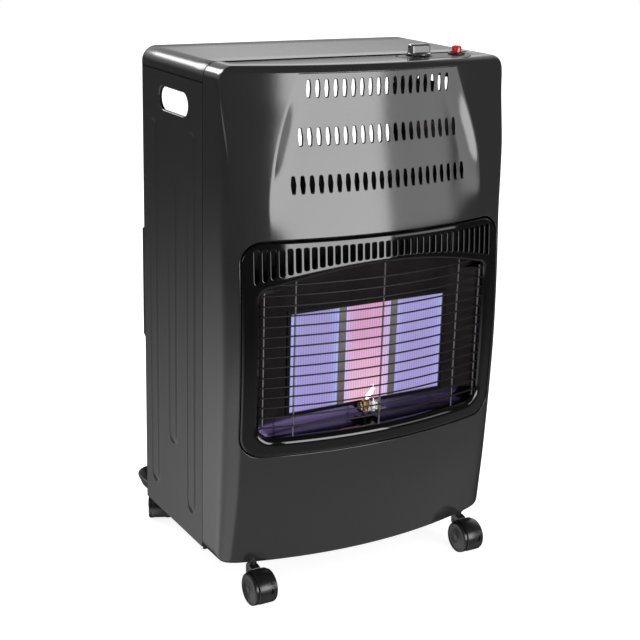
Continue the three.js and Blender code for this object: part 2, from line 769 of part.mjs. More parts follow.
const injectors = [
  { name: 'left', x: -plaqueSpacing, drop: valve.low - 40, port: -12 },
  { name: 'centre', x: 0, drop: valve.low - 65, port: 0 },
  { name: 'right', x: plaqueSpacing, drop: valve.low - 90, port: 12 },
];
const injectorHeight = plaqueLow + 77.7;
const pipeRadius = 3;
const pipeY = -31;

function makeInjector({ x }) {
  const front = plaqueFront + plenumDepth + gap;
  const arm = new THREE.CylinderGeometry(5, 5, pipeY + 5 - front, 6);
  arm.translate(x, (front + pipeY + 5) / 2, injectorHeight);
  return join(solid(arm), post(x, pipeY, injectorHeight - 5, injectorHeight + 12, 5, 6));
}

function makeBurnerPipe({ x, drop, port }) {
  const top = valve.low - gap;
  return tube([
    [knob.x + port, pipeY, top], [knob.x + port, pipeY, drop], [x, pipeY, drop],
    [x, pipeY, injectorHeight + 12 + gap],
  ], pipeRadius, 8);
}

// The three lines to the pilot group run down beside the plenum and forward under it.
function makePilotFeed(index, start, { column, depth }) {
  const { x, radius } = pilotLine[index];
  const down = start[2] - 14;
  return tube([
    start, [start[0], start[1], down], [column, depth, down - 30],
    [column, depth, pilotFeedHeight], [x, depth, pilotFeedHeight],
    [x, pilotY + 0.5, pilotFeedHeight],
  ], radius, 6);
}

// ---- Controls -----------------------------------------------------------------------------

function makeControlPlate() {
  const shape = stadium(controlPlate.x, controlPlate.y, controlPlate.length,
    controlPlate.high);
  const plate = planPrism(shape, height - controlPlate.sheet, height + plateRise, 4);
  const low = height - well.depth;
  const cup = post(knob.x, knob.y, low - well.wall, height, wellRadius(), 20);
  return cut(join(plate, cup),
    post(knob.x, knob.y, low, height + 10, wellRadius() - well.wall, 20),
    post(knob.x, knob.y, low - 10, height + 10, spindleRadius + 1.5, 10),
    post(igniter.x, igniter.y, height - 10, height + 10, igniter.radius + gap, 12));
}

// Outside of the well that the knob sinks into.
function wellRadius() {
  return knob.skirt + well.clearance + well.wall;
}

function makeValve() {
  const { low, high, half, front, back } = valve;
  const body = planPrism(roundedRect(knob.x - half, knob.x + half, front, back, 6), low, high, 3);
  const neck = post(knob.x, knob.y, high - 1, high + 3, 7, 10);
  const posts = [-1, 1].map((side) => (
    post(knob.x + side * 12, knob.y - 3, high - 1, height - well.depth - well.wall - gap, 3, 6)
  ));
  const bore = post(knob.x, knob.y, high - 12, high + 10, spindleRadius + gap, 10);
  return cut(join(body, neck, ...posts), bore);
}

function makeSpringCup() {
  const low = valve.high + 3 + knobPush + gap;
  const cup = post(knob.x, knob.y, low, low + 8, 7, 12);
  return cut(cup, post(knob.x, knob.y, low - 1, low + 9, spindleRadius + gap, 12));
}

function makeSpindle() {
  const low = valve.high - 8 + knobPush - 3;
  const shaft = post(knob.x, knob.y, low, knobBase + knob.high - 5, spindleRadius, 12);
  const flat = block(knob.x - 10, knob.x + 10, knob.y + spindleRadius - 1.5, knob.y + 10,
    knobBase, knobBase + knob.high);
  return cut(shaft, flat);
}

const knobBase = height + plateRise + knob.lift;

function makeKnob() {
  const base = post(knob.x, knob.y, knobBase, knobBase + 0.6 * knob.high, knob.skirt, 24);
  const { length, thick, high } = knob;
  const bar = (lengthAt, thickAt, z) => {
    const radius = thickAt / 2;
    const middle = lengthAt / 2 - radius;
    const arc = (cx, from) => Array.from({ length: 5 }, (_, i) => {
      const angle = from + (Math.PI * i) / 4;
      return [knob.x + cx + radius * Math.cos(angle), knob.y + radius * Math.sin(angle), z];
    });
    return [...arc(middle, -Math.PI / 2), ...arc(-middle, Math.PI / 2)];
  };
  const grip = loft([
    bar(length, thick, knobBase + 1), bar(length - 1, thick - 1, knobBase + high - 3),
    bar(length - 4, thick - 4, knobBase + high),
  ]);
  const bore = post(knob.x, knob.y, knobBase - 1, knobBase + high - 4.5,
    spindleRadius + gap, 12);
  const key = block(knob.x - 10, knob.x + 10, knob.y + spindleRadius - 1.5 + gap,
    knob.y + 10, knobBase - 2, knobBase + high);
  return cut(join(base, grip), cut(bore, key));
}

function makeIgniter() {
  const { x, y, radius, low } = igniter;
  const body = post(x, y, low, height + 0.5, radius, 12);
  const flange = post(x, y, height - frontWall - gap - 4, height - frontWall - gap,
    radius + 4, 6);
  return cut(join(body, flange), post(x, y, height - 18, height + 10, buttonRadius + gap, 12));
}

function makeIgniterNut() {
  const { x, y, radius } = igniter;
  const low = height + plateRise + gap;
  return cut(post(x, y, low, low + 3, radius + 2.6, 12),
    post(x, y, low - 1, low + 4, radius + gap, 12));
}

function makeButton() {
  const { x, y } = igniter;
  const geometry = turned([
    [0, 0], [buttonRadius, 0], [buttonRadius, 11 + buttonHigh],
    [buttonRadius - 1.2, 12.3 + buttonHigh], [0, 12.8 + buttonHigh],
  ], 12);
  geometry.translate(x, y, height - 18 + buttonTravel + 1);
  return solid(geometry);
}

function makeNozzle() {
  const profile = [[0, 0], [7, 0], [7, 7], [4.5, 8]];
  for (let barb = 0; barb < 3; barb += 1) {
    profile.push([5.6, 12 + 6 * barb], [4.5, 12.5 + 6 * barb]);
  }
  profile.push([4, nozzleLength], [0, nozzleLength]);
  const points = profile.map(([radius, down]) => new THREE.Vector2(radius, down));
  const geometry = new THREE.LatheGeometry(points, 8);
  geometry.translate(knob.x, valve.back + gap, (valve.low + valve.high) / 2);
  return solid(geometry);
}

// ---- Base and rear ------------------------------------------------------------------------

function makeTray() {
  const floorLow = bodyBottom + frontWall + gap;
  const outline = (inset) => {
    const half = width / 2 - frontWall - gap - inset;
    const rear = planPrism(
      roundedRect(-half, half, 60, trayRear - inset, trayRadius - 10, trayRadius - inset),
      bodyBottom, trayHigh, 4,
    );
    const ring = planRing(bodyBottom, frontWall + gap + inset, 90);
    const front = loft([
      ring.map(([x, y]) => [x, y, bodyBottom]), ring.map(([x, y]) => [x, y, trayHigh]),
    ]);
    return join(rear, front);
  };
  const whole = outline(0);
  const hollow = outline(trayWall);
  const above = block(-width, width, beyondFront, 2 * trayRear, floorLow + trayWall, trayHigh + 10);
  const below = block(-width, width, 10, 2 * trayRear, bodyBottom - 10, floorLow);
  const overFrontLip = block(-width, width, beyondFront, 10, bodyBottom - 10, floorLow);
  const inFoot = join(
    frontPrism(bodyOutline(frontWall + gap), beyondFront, 0, 4),
    block(-width, width, 0, 2 * trayRear, 0, 2 * trayHigh),
  );
  const pan = cut(whole, hollow.intersect(above), hollow.intersect(below), overFrontLip)
    .intersect(inFoot);
  const lugOut = width / 2 - frontWall - gap;
  const lugs = [-1, 1].map((side) => {
    const [a, b] = [side * lugOut, side * (lugOut - lugWidth)];
    return block(Math.min(a, b), Math.max(a, b), seam / 2 + gap, seam / 2 + gap + lugThick,
      bodyBottom - lugDrop, floorLow + 1);
  });
  const bosses = Object.values(casterPlaces).map(({ x, y }) => (
    post(x, y, bodyBottom, stemTop + 5, bossRadius, 12)
  ));
  const bores = Object.values(casterPlaces).map(({ x, y }) => (
    post(x, y, bodyBottom - 5, stemTop + 1, stemBore, 8)
  ));
  return cut(join(pan, ...lugs, join(...bosses).intersect(whole)), ...bores);
}

// The rear cover: a flat rim, a domed pan, and a lower bulge that reaches over the rim.
function makeRearCover() {
  const front = sideDepth + gap;
  const rimHalf = width / 2 - coverRimInset;
  const rim = block(-rimHalf, rimHalf, front, front + coverSheet, coverLow, coverHigh);
  const panHalf = width / 2 - panInset;
  const bandHalf = width / 2 - bandInset;
  const ring = (half, low, high, y, radius = 16) => {
    const corners = [[1, -1], [1, 1], [-1, 1], [-1, -1]];
    return corners.flatMap(([sx, sz], corner) => Array.from({ length: 3 }, (_, i) => {
      const angle = (-Math.PI / 2) + (Math.PI / 2) * (corner + i / 2);
      const cx = sx * (half - radius);
      const cz = sz > 0 ? high - radius : low + radius;
      return [cx + radius * Math.cos(angle), y, cz + radius * Math.sin(angle)];
    })).reverse();
  };
  const pan = (shrink) => loft([
    ring(panHalf - shrink, coverLow + 6 + shrink, coverHigh - 8 - shrink, front - 2),
    ring(panHalf - 4 - shrink, coverLow + 10 + shrink, coverHigh - 20 - shrink,
      front + 18 - shrink),
    ring(panHalf - 20 - shrink, coverLow + 20 + shrink, coverHigh - 36 - shrink,
      coverBulge - 12 - shrink),
    ring(panHalf - 56 - shrink, coverLow + 40 + shrink, coverHigh - 60 - shrink,
      coverBulge - shrink),
  ]);
  const band = (shrink) => loft([
    ring(bandHalf - shrink, bandLow + shrink, bandHigh - shrink, front - 2, 8),
    ring(bandHalf - 3 - shrink, bandLow + 6 + shrink, bandHigh - 6 - shrink,
      front + 17 - shrink, 8),
  ]);
  const behind = block(-width, width, front, trayRear + 20, 0, height);
  const outer = join(pan(0), band(0)).intersect(behind);
  const vents = [-1, 1].flatMap((side) => [118, 88, 58].flatMap((inset) => (
    [coverLow + 24, coverHigh - 34].map((z) => (
      frontPrism(slotShape(side * (panHalf - inset), z, 9, 20, false), front, trayRear + 50)
    ))
  )));
  const hooks = [-1, 1].flatMap((side) => hookHeights.map((z) => coverHook(side, z, front)));
  return join(cut(join(rim, outer), pan(coverSheet), band(coverSheet), ...vents), ...hooks);
}

// A hook: a neck through the side panel's rear flange and a toe that hangs down behind it.
function coverHook(side, z, front) {
  const x = side * (width / 2 - 11);
  const flangeInside = sideDepth - panelSheet - gap;
  const neck = block(x - 0.8, x + 0.8, flangeInside - 5, front + 0.5, z, z + 10);
  const toe = block(x - 0.8, x + 0.8, flangeInside - 5, flangeInside, z - 9, z + 10);
  return join(neck, toe);
}

// ---- Casters ------------------------------------------------------------------------------
// A caster is modelled with its stem on the Z axis and its wheels trailing towards -Y.

function discAcross(radius, x0, x1, sides) {
  const geometry = new THREE.CylinderGeometry(radius, radius, x1 - x0, sides);
  geometry.rotateZ(Math.PI / 2);
  geometry.translate((x0 + x1) / 2, -casterTrail, wheelRadius);
  return solid(geometry);
}

function makeCasterHousing() {
  const half = wheelInner - 0.4;
  const web = discAcross(wheelRadius - 0.7, -half, half, 14);
  const neck = sidePrism(roundedRect(-casterTrail + 4, collarRadius - 0.5,
    wheelRadius + 8, 2 * wheelRadius + 2, 4), -half + 0.3, half - 0.3, 2);
  const collar = post(0, 0, wheelRadius + 9, bodyBottom - 0.5, collarRadius, 10);
  const hoodSpan = block(-hoodHalf, hoodHalf, -casterTrail - 40, -casterTrail + 40,
    hoodLow, 3 * wheelRadius);
  const hood = cut(discAcross(hoodOutside, -hoodHalf, hoodHalf, 20),
    discAcross(hoodInside, -20, -half, 20), discAcross(hoodInside, half, 20, 20))
    .intersect(hoodSpan);
  const underside = block(-20, 20, -60, 20, -5, 5);
  const bores = join(
    post(0, 0, wheelRadius + 12, bodyBottom + 5, stemBore, 8),
    discAcross(axleRadius + gap, -20, 20, 8),
  );
  return cut(join(web, neck, collar, hood), underside, bores);
}

function makeCasterStem() {
  const low = wheelRadius + 12 + gap;
  const profile = [[0, low], [stemRadius, low], [stemRadius, stemTop - 10],
    [stemRadius - 0.8, stemTop - 8], [stemRadius, stemTop - 6], [2.5, stemTop], [0, stemTop]];
  return solid(turned(profile, 8));
}

function makeCasterWheel(side) {
  const outer = wheelInner + wheelWidth;
  const profile = [
    [0, wheelInner], [wheelRadius, wheelInner], [wheelRadius, outer - 2],
    [wheelRadius - 3, outer], [0, outer + 1],
  ].map(([radius, x]) => new THREE.Vector2(radius, x));
  const geometry = new THREE.LatheGeometry(profile, 16);
  geometry.rotateZ(-side * Math.PI / 2);
  geometry.translate(0, -casterTrail, wheelRadius);
  const bore = discAcross(axleRadius + gap, side > 0 ? 0 : -outer + 2,
    side > 0 ? outer - 2 : 0, 8);
  return cut(solid(geometry), bore);
}

// ---- Finishes and assembly ----------------------------------------------------------------

const finish = (color, roughness, metalness) => (
  new THREE.MeshStandardMaterial({ color, roughness, metalness })
);
const paint = finish(0x38383a, 0.42, 0.55);
const glossBlack = finish(0x0b0b0c, 0.12, 0.2);
const plastic = finish(0x161617, 0.5, 0);
const steel = finish(0x9a9a9c, 0.35, 1);
const darkSteel = finish(0x2a2a2c, 0.45, 0.8);
const plating = finish(0xa9a9aa, 0.4, 0.9);
const ceramicGlow = finish(0xb9a4ea, 0.9, 0);
const ceramicWhite = finish(0xe9e5dc, 0.5, 0);
const brass = finish(0xb08d45, 0.3, 1);
const copper = finish(0xb06a48, 0.3, 1);
const red = finish(0xb3141b, 0.3, 0);

const heater = new THREE.Group();

function place(name, shape, material, group = heater) {
  const mesh = new THREE.Mesh(geometryOf(shape), material);
  mesh.name = name;
  group.add(mesh);
}

place('base_tray', makeTray(), plastic);
place('side_panel_right', makeSidePanel(), paint);
place('side_panel_left', mirrored(makeSidePanel()), paint);
place('top_cover', makeTopCover(), paint);
place('front_fascia', makeFront(), paint);
place('rear_cover', makeRearCover(), paint);
place('partition', makePartition(), plating);

place('burner_surround', makeSurround(), glossBlack);
place('wire_guard', makeGuard(), darkSteel);
place('reflector', makeReflector(), darkSteel);
place('plenum', makePlenum(), plating);
place('plaque_clamp_frame', makeClampFrame(), darkSteel);
plaquePlaces.forEach((spot) => place(spot.name, makePlaque(spot), ceramicGlow));
injectors.forEach((spot) => {
  place(`injector_${spot.name}`, makeInjector(spot), brass);
  place(`burner_pipe_${spot.name}`, makeBurnerPipe(spot), copper);
});

place('pilot_bracket', makePilotBracket(), steel);
place('pilot_burner', makePilotBurner(), brass);
place('spark_electrode', makeRod(1, [[0.9, 13], [0.9, 17]]), ceramicWhite);
place('thermocouple', makeRod(2, [[1.8, 13], [1.8, 19]]), steel);
place('pilot_pipe', makePilotFeed(
  0, [knob.x + 14, valveOutletY, valve.low - gap], pilotFeeds.pilot_pipe,
), copper);
place('ignition_lead', makePilotFeed(
  1, [igniter.x, igniter.y, igniter.low - gap], pilotFeeds.ignition_lead,
), plastic);
place('thermocouple_lead', makePilotFeed(
  2, [knob.x - 6, valveOutletY, valve.low - gap], pilotFeeds.thermocouple_lead,
), copper);

place('gas_valve', makeValve(), plating);
place('hose_nozzle', makeNozzle(), brass);
place('control_plate', makeControlPlate(), plastic);
place('valve_spring_cup', makeSpringCup(), steel);
place('valve_spindle', makeSpindle(), steel);
place('control_knob', makeKnob(), plastic);
place('piezo_igniter', makeIgniter(), plastic);
place('igniter_nut', makeIgniterNut(), plastic);
place('piezo_button', makeButton(), red);

Object.entries(casterPlaces).forEach(([corner, { x, y, turn }]) => {
  const caster = new THREE.Group();
  caster.position.set(x, y, 0);
  caster.rotation.z = THREE.MathUtils.degToRad(turn);
  heater.add(caster);
  place(`caster_housing_${corner}`, makeCasterHousing(), plastic, caster);
  place(`caster_stem_${corner}`, makeCasterStem(), steel, caster);
  place(`caster_axle_${corner}`, discAcross(axleRadius, -wheelInner - 7, wheelInner + 7, 8), steel,
    caster);
  place(`caster_wheel_a_${corner}`, makeCasterWheel(-1), plastic, caster);
  place(`caster_wheel_b_${corner}`, makeCasterWheel(1), plastic, caster);
});

heater.updateMatrixWorld(true);
const extent = new THREE.Box3().setFromObject(heater);
heater.position.y = -(extent.min.y + extent.max.y) / 2;

export default heater;
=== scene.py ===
"""The finished look of the portable gas cabinet heater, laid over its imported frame.

Each new piece is a surface worked out with numpy in the maker's millimetres: x to the right, y to
the back, z up, with y = 0 at the joint between the side panels and the bowed front, and z = 0 on
the floor. to_frame turns those millimetres into the frame's metres in one place.
"""

import math

import bmesh
import bpy
import numpy as np
from mathutils import Matrix, Vector


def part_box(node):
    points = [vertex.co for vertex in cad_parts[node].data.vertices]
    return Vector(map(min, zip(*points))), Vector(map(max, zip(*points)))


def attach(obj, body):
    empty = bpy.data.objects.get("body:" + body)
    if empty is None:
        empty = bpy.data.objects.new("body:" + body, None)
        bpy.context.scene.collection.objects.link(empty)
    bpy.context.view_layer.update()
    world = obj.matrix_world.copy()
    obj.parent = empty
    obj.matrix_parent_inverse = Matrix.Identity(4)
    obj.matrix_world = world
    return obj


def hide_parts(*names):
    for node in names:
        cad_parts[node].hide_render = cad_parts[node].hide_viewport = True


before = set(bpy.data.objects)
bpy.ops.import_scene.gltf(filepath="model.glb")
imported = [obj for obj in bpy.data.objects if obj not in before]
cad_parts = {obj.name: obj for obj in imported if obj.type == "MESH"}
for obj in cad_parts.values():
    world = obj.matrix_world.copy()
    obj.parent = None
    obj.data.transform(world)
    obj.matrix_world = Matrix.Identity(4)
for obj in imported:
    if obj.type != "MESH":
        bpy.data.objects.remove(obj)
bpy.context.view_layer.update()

# ---- Sizes, in millimetres ----

class Sizes:
    """A named set of sizes."""

    def __init__(self, **sizes):
        self.__dict__.update(sizes)


MM = 0.001
WIDTH = 420.0
HEIGHT = 700.0
SIDE_DEPTH = 187.0
BODY_BOTTOM = 50.7
SEAM = 1.7
FRONT_BOW = 600.0

# Side profile of the bowed front: [share of the height, distance].
CENTRE_PROFILE = [
    [0, -94], [0.14, -104], [0.29, -109.5], [0.43, -112], [0.58, -109.5], [0.68, -105],
    [0.76, -101], [0.83, -96.7], [0.937, -84], [0.985, -80.2], [1, -79.5],
]
CORNER_PROFILE = [
    [0, -47], [0.14, -52], [0.38, -58], [0.54, -54], [0.655, -48], [0.76, -45.5], [1, -45],
]
CORNER_REACH = [[0, 26], [0.655, 26], [0.76, 15], [0.83, 10], [0.937, 7], [1, 7]]

FRONT_WALL, PANEL_WALL = 2.2, 1.4
THROUGH_FRONT = (-200, -50)   # from in front of the bowed front to behind it
JOINT_DROP, JOINT_DROP_REACH = 1.1, 186.0
TOP_RADIUS = 20.0
FOOT_RADIUS = 9.0
LIP_RADIUS = 9.0          # front edge of the top
FOOT_LIP_RADIUS, FOOT_LIP = 4.0, 12.0
TOP_SKIRT = 25.0

SCOOP_DEPTH, SCOOP_TOP_DEPTH, SCOOP_CREASE = 7.4, 2.8, 0.8
SCOOP_EDGE = [[482, 157], [510, 158.5], [545, 156.6], [588, 149.6], [623, 140], [659, 127.7],
              [691, 115.6]]
SCOOP_TOP = 691.0
SCOOP_SHALLOWS = 615.0
SCOOP_FULL = 590.0
SCOOP_END = 482.0
SCOOP_RAMP, SCOOP_LOW_RAMP, SCOOP_RAMP_RISE = 32.0, 60.0, 110.0
SLOT_ROWS = [(672, 18), (614.5, 20), (557, 22)]
SLOT_PITCH, SLOT_WIDTH, SLOT_HEIGHT, SLOT_ROLL, SLOT_TAPER = 12.0, 7.4, 22.7, 0.75, 0.36

SURROUND = Sizes(half=194.0, low=207.0, high=488.4, radius=28.0, groove=0.9, top_groove=2.6)
SURROUND_ROLL, OPENING_ROLL = 2.5, 1.1
WINDOW = Sizes(half=170.0, low=231.0, shoulder=430.0, crown=452.5, radius=18.0)
WINDOW_BACK = -65.2
WINDOW_LIP, WINDOW_TOP_LIP, LIP_NARROWS, LIP_NARROWING = 10.0, 4.0, 405.0, 30.0
GRILLE = Sizes(count=35, pitch=10.3, width=6.0, top=479.8, crown=460.0, drop=22.6, roll=1.05)

WIRE_RADIUS = 1.1
GUARD_WIRES, GUARD_LOW, GUARD_HIGH, GUARD_CENTRE = 15, 246.0, 434.0, -106.0
GUARD_UPRIGHTS = (-125.0, -2.5, 122.5)

PIPE = Sizes(radius=3.0, across=584.0, bend=12.0)

RIBS = [(32.5, 90, 611), (91, 170, 538), (151.5, 90, 611)]
RIB_RISE, RIB_WIDTH, RIB_SHOULDER = 1.8, 25.0, 3.8
HAND_HOLE = Sizes(y=88.0, z=640.0, length=88.0, high=30.0)

KNOB = Sizes(x=85.8, y=-28.0, length=30.0, thick=13.0)
WELL_RADIUS, WELL_DEPTH = 17.4, 4.6
BUTTON = Sizes(x=146.0, y=-27.5)
PLATE = Sizes(x=106.0, y=-33.0, length=105.0, high=46.0, rise=0.2)

TRAY_REAR, TRAY_HIGH, TRAY_RADIUS, TRAY_WALL, TRAY_FLOOR = 250.0, 68.5, 30.0, 2.5, 55.2
COVER = Sizes(half=206.0, low=78.0, high=520.0)

WHEEL_RADIUS, WHEEL_WIDTH, WHEEL_INNER, TRAIL = 22.0, 9.5, 7.2, 23.0
CASTERS = {"front_left": (-167, -63, 0), "front_right": (167, -63, 0),
           "rear_left": (-169, 232, -25), "rear_right": (169, 232, 18)}

SEAM_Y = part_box("side_panel_right")[1].y / MM - SIDE_DEPTH


def to_frame(points):
    """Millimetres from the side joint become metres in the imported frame."""
    return (np.asarray(points, float) + [0, SEAM_Y, 0]) * MM


# ---- Curves and grids ----

def smooth(t):
    """3t^2 - 2t^3, held at 0 and 1."""
    t = np.clip(t, 0, 1)
    return t * t * (3 - 2 * t)


def along(profile, place):
    """Cubic through [place, value] points, with the slope at each point that of its neighbours."""
    places, values = np.array(profile, float).T
    slopes = np.empty_like(values)
    slopes[1:-1] = (values[2:] - values[:-2]) / (places[2:] - places[:-2])
    slopes[0] = (values[1] - values[0]) / (places[1] - places[0])
    slopes[-1] = (values[-1] - values[-2]) / (places[-1] - places[-2])
    place = np.clip(place, places[0], places[-1])
    i = np.clip(np.searchsorted(places, place, side="left") - 1, 0, len(places) - 2)
    span = places[i + 1] - places[i]
    t = (place - places[i]) / span
    return ((2 * t**3 - 3 * t**2 + 1) * values[i] + (t**3 - 2 * t**2 + t) * span * slopes[i]
            + (3 * t**2 - 2 * t**3) * values[i + 1] + (t**3 - t**2) * span * slopes[i + 1])


def joined(*axes):
    """Coordinates made into points; the shorter ones are repeated."""
    return np.stack(np.broadcast_arrays(*axes), axis=-1)


def share(z):
    return (np.asarray(z, float) - BODY_BOTTOM) / (HEIGHT - BODY_BOTTOM)


def front_y(x, z):
    """The bowed front: its centre line's profile plus x^2 / (2 bow)."""
    return along(CENTRE_PROFILE, share(z)) + np.asarray(x, float) ** 2 / (2 * FRONT_BOW)


def net(points, round_u=False, round_v=False, close_start=False, close_end=False, flip=False):
    """Faces between neighbours of an (n, m, 3) grid; its first and last columns can be closed."""
    n, m = points.shape[:2]
    index = np.arange(n * m).reshape(n, m)
    loop_u = np.concatenate([index, index[:1]]) if round_u else index
    loop = np.concatenate([loop_u, loop_u[:, :1]], axis=1) if round_v else loop_u
    quads = np.stack([loop[:-1, :-1], loop[1:, :-1], loop[1:, 1:], loop[:-1, 1:]], axis=-1)
    faces = quads.reshape(-1, 4).tolist()
    if close_start:
        faces.append(index[::-1, 0].tolist())
    if close_end:
        faces.append(index[:, -1].tolist())
    if flip:
        faces = [face[::-1] for face in faces]
    return points.reshape(-1, 3), faces


def together(*shapes):
    """Several shapes as one list of points and faces."""
    points, faces, start = [], [], 0
    for shape_points, shape_faces in shapes:
        points.append(shape_points)
        faces += [[i + start for i in face] for face in shape_faces]
        start += len(shape_points)
    return np.concatenate(points), faces


def mirrored(shape):
    """The same shape on the other side of x = 0, with its faces turned round again."""
    points, faces = shape
    return points * [-1, 1, 1], [face[::-1] for face in faces]


def turned(profile, centre=(0, 0, 0), sides=48, axis="z"):
    """A profile of [radius, height] carried once round its axis."""
    radius, height = np.array(profile, float).T
    angle = np.linspace(0, 2 * np.pi, sides, endpoint=False)[:, None]
    a, b = radius * np.cos(angle), radius * np.sin(angle)
    order = {"z": (a, b, height), "x": (height, a, b), "y": (b, height, a)}[axis]
    return net(joined(*order) + np.array(centre, float), round_u=True)


def tube(path, radius, sides=10, closed_ends=True):
    """A round section carried along a path of points; the section keeps square to the path."""
    path = np.asarray(path, float)
    tangent = np.gradient(path, axis=0)
    tangent /= np.linalg.norm(tangent, axis=1, keepdims=True)
    first = np.cross(tangent, [0.31, 0.55, 0.777])
    first /= np.linalg.norm(first, axis=1, keepdims=True)
    second = np.cross(tangent, first)
    angle = np.linspace(0, 2 * np.pi, sides, endpoint=False)[:, None, None]
    rings = path + radius * (np.cos(angle) * first + np.sin(angle) * second)
    return net(rings, round_u=True, close_start=closed_ends, close_end=closed_ends)


def bend(start, corner, end, t):
    """Quadratic bend from start to end, pulled towards the corner."""
    return (1 - t) ** 2 * start + 2 * t * (1 - t) * corner + t * t * end


def rounded_corner(start, corner, end, steps=6):
    """Points along a bend."""
    return bend(*np.array([start, corner, end], float), np.linspace(0, 1, steps)[:, None])


def stadium(x, y, length, high, steps=24):
    """Outline with straight long edges and half-round ends, anticlockwise."""
    radius = high / 2
    middle = length / 2 - radius
    angle = np.linspace(-np.pi / 2, np.pi / 2, steps)
    right = joined(middle + radius * np.cos(angle), radius * np.sin(angle))
    return np.concatenate([right, -right]) + [x, y]


def quarter(count):
    """Angles through a quarter turn."""
    return np.linspace(0, np.pi / 2, count)


def upright(flat, y):
    """An outline of [x, z] points set at depth y."""
    return joined(flat[:, 0], y, flat[:, 1])


def lying(flat, z):
    """An outline of [x, y] points set at height z."""
    return joined(*flat.T, z)


def carried(rows, **closing):
    """The surface through rows that each hold one closed outline."""
    return net(np.stack(rows, axis=1), round_u=True, **closing)


def turned_in(radius, past):
    """How far a rounded edge has fallen back at a point this far past its beginning."""
    return radius - np.sqrt(np.maximum(radius**2 - np.maximum(past, 0) ** 2, 0))


def frame_outline(half, low, shoulder, crown, low_radius, high_radius):
    """Rounded outline whose top edge is an arch from the shoulders to the crown, anticlockwise.

    Each stretch always has the same number of points, so two such outlines can be joined."""
    turn = quarter(10)

    def edge(a, b, count):
        t = np.linspace(0, 1, count + 2)[1:-1, None]
        return (1 - t) * np.array(a, float) + t * np.array(b, float)

    def corner(x, z, radius, start):
        return joined(x + radius * np.cos(start + turn), z + radius * np.sin(start + turn))

    inner_low, inner_high = half - low_radius, half - high_radius
    arch = edge((inner_high, 0), (-inner_high, 0), 90)
    arch[:, 1] = crown - (crown - shoulder) * (arch[:, 0] / inner_high) ** 2
    right = np.concatenate([
        corner(inner_low, low + low_radius, low_radius, -np.pi / 2),
        edge((half, low + low_radius), (half, shoulder - high_radius), 40),
        corner(inner_high, shoulder - high_radius, high_radius, 0)])
    return np.concatenate([edge((-inner_low, low), (inner_low, low), 90), right, arch,
                           right[::-1] * [-1, 1]])


def window_outline(grow):
    """The window's outline, moved outwards by grow."""
    return frame_outline(WINDOW.half + grow, WINDOW.low - grow, WINDOW.shoulder + grow,
                         WINDOW.crown + grow, WINDOW.radius + grow, 12 + grow)


def prism(outline, axis, start, end):
    """A closed block: an outline carried straight from start to end along one axis."""
    a, b = np.asarray(outline, float).T
    ring = joined(*{"x": (0, a, b), "y": (a, 0, b), "z": (a, b, 0)}[axis])
    shift = np.zeros(3)
    shift["xyz".index(axis)] = 1
    rings = np.stack([ring + shift * start, ring + shift * end], axis=1)
    return net(rings, round_u=True, close_start=True, close_end=True, flip=axis == "y")


# ---- Putting pieces together ----

def new_object(name, data):
    """A new object, placed in the scene."""
    thing = bpy.data.objects.new(name, data)
    bpy.context.scene.collection.objects.link(thing)
    return thing


def mesh_object(name, shape):
    """A mesh object at the origin whose points are already in the frame."""
    points, faces = shape
    mesh = bpy.data.meshes.new(name)
    mesh.from_pydata(to_frame(points).tolist(), [], faces)
    return new_object(name, mesh)


def weld(mesh, outwards):
    """Merges doubled points; a closed shape also has its faces turned outwards."""
    work = bmesh.new()
    work.from_mesh(mesh)
    bmesh.ops.remove_doubles(work, verts=work.verts, dist=2e-6)
    bmesh.ops.dissolve_degenerate(work, edges=work.edges, dist=1e-7)
    if outwards:
        bmesh.ops.recalc_face_normals(work, faces=work.faces)
    work.to_mesh(mesh)
    work.free()


def piece(name, shape, material, nodes=(), body="cabinet", wall=0.0, cuts=(), crease=32):
    """One finished piece: an optional sheet thickness inwards, optional cut-outs, soft shading."""
    thing = mesh_object(name, shape)
    weld(thing.data, outwards=not wall)
    if wall:
        sheet = thing.modifiers.new("sheet", "SOLIDIFY")
        sheet.thickness, sheet.offset = wall * MM, -1
    cutters = []
    for number, cut in enumerate(cuts):
        cutter = mesh_object(f"{name}_cutter_{number}", cut)
        weld(cutter.data, outwards=True)
        hole = thing.modifiers.new("hole", "BOOLEAN")
        hole.operation, hole.object, hole.solver = "DIFFERENCE", cutter, "MANIFOLD"
        cutters.append(cutter)
    if thing.modifiers:
        done = bpy.data.meshes.new_from_object(
            thing.evaluated_get(bpy.context.evaluated_depsgraph_get()))
        thing.modifiers.clear()
        thing.data = done
    for cutter in cutters:
        bpy.data.objects.remove(cutter)
    thing.data.name = name
    thing.data.shade_smooth()
    thing.data.set_sharp_from_angle(angle=math.radians(crease))
    thing.data.materials.clear()
    thing.data.materials.append(material)
    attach(thing, body)
    if nodes:
        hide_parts(*nodes)

# ---- Finishes ----

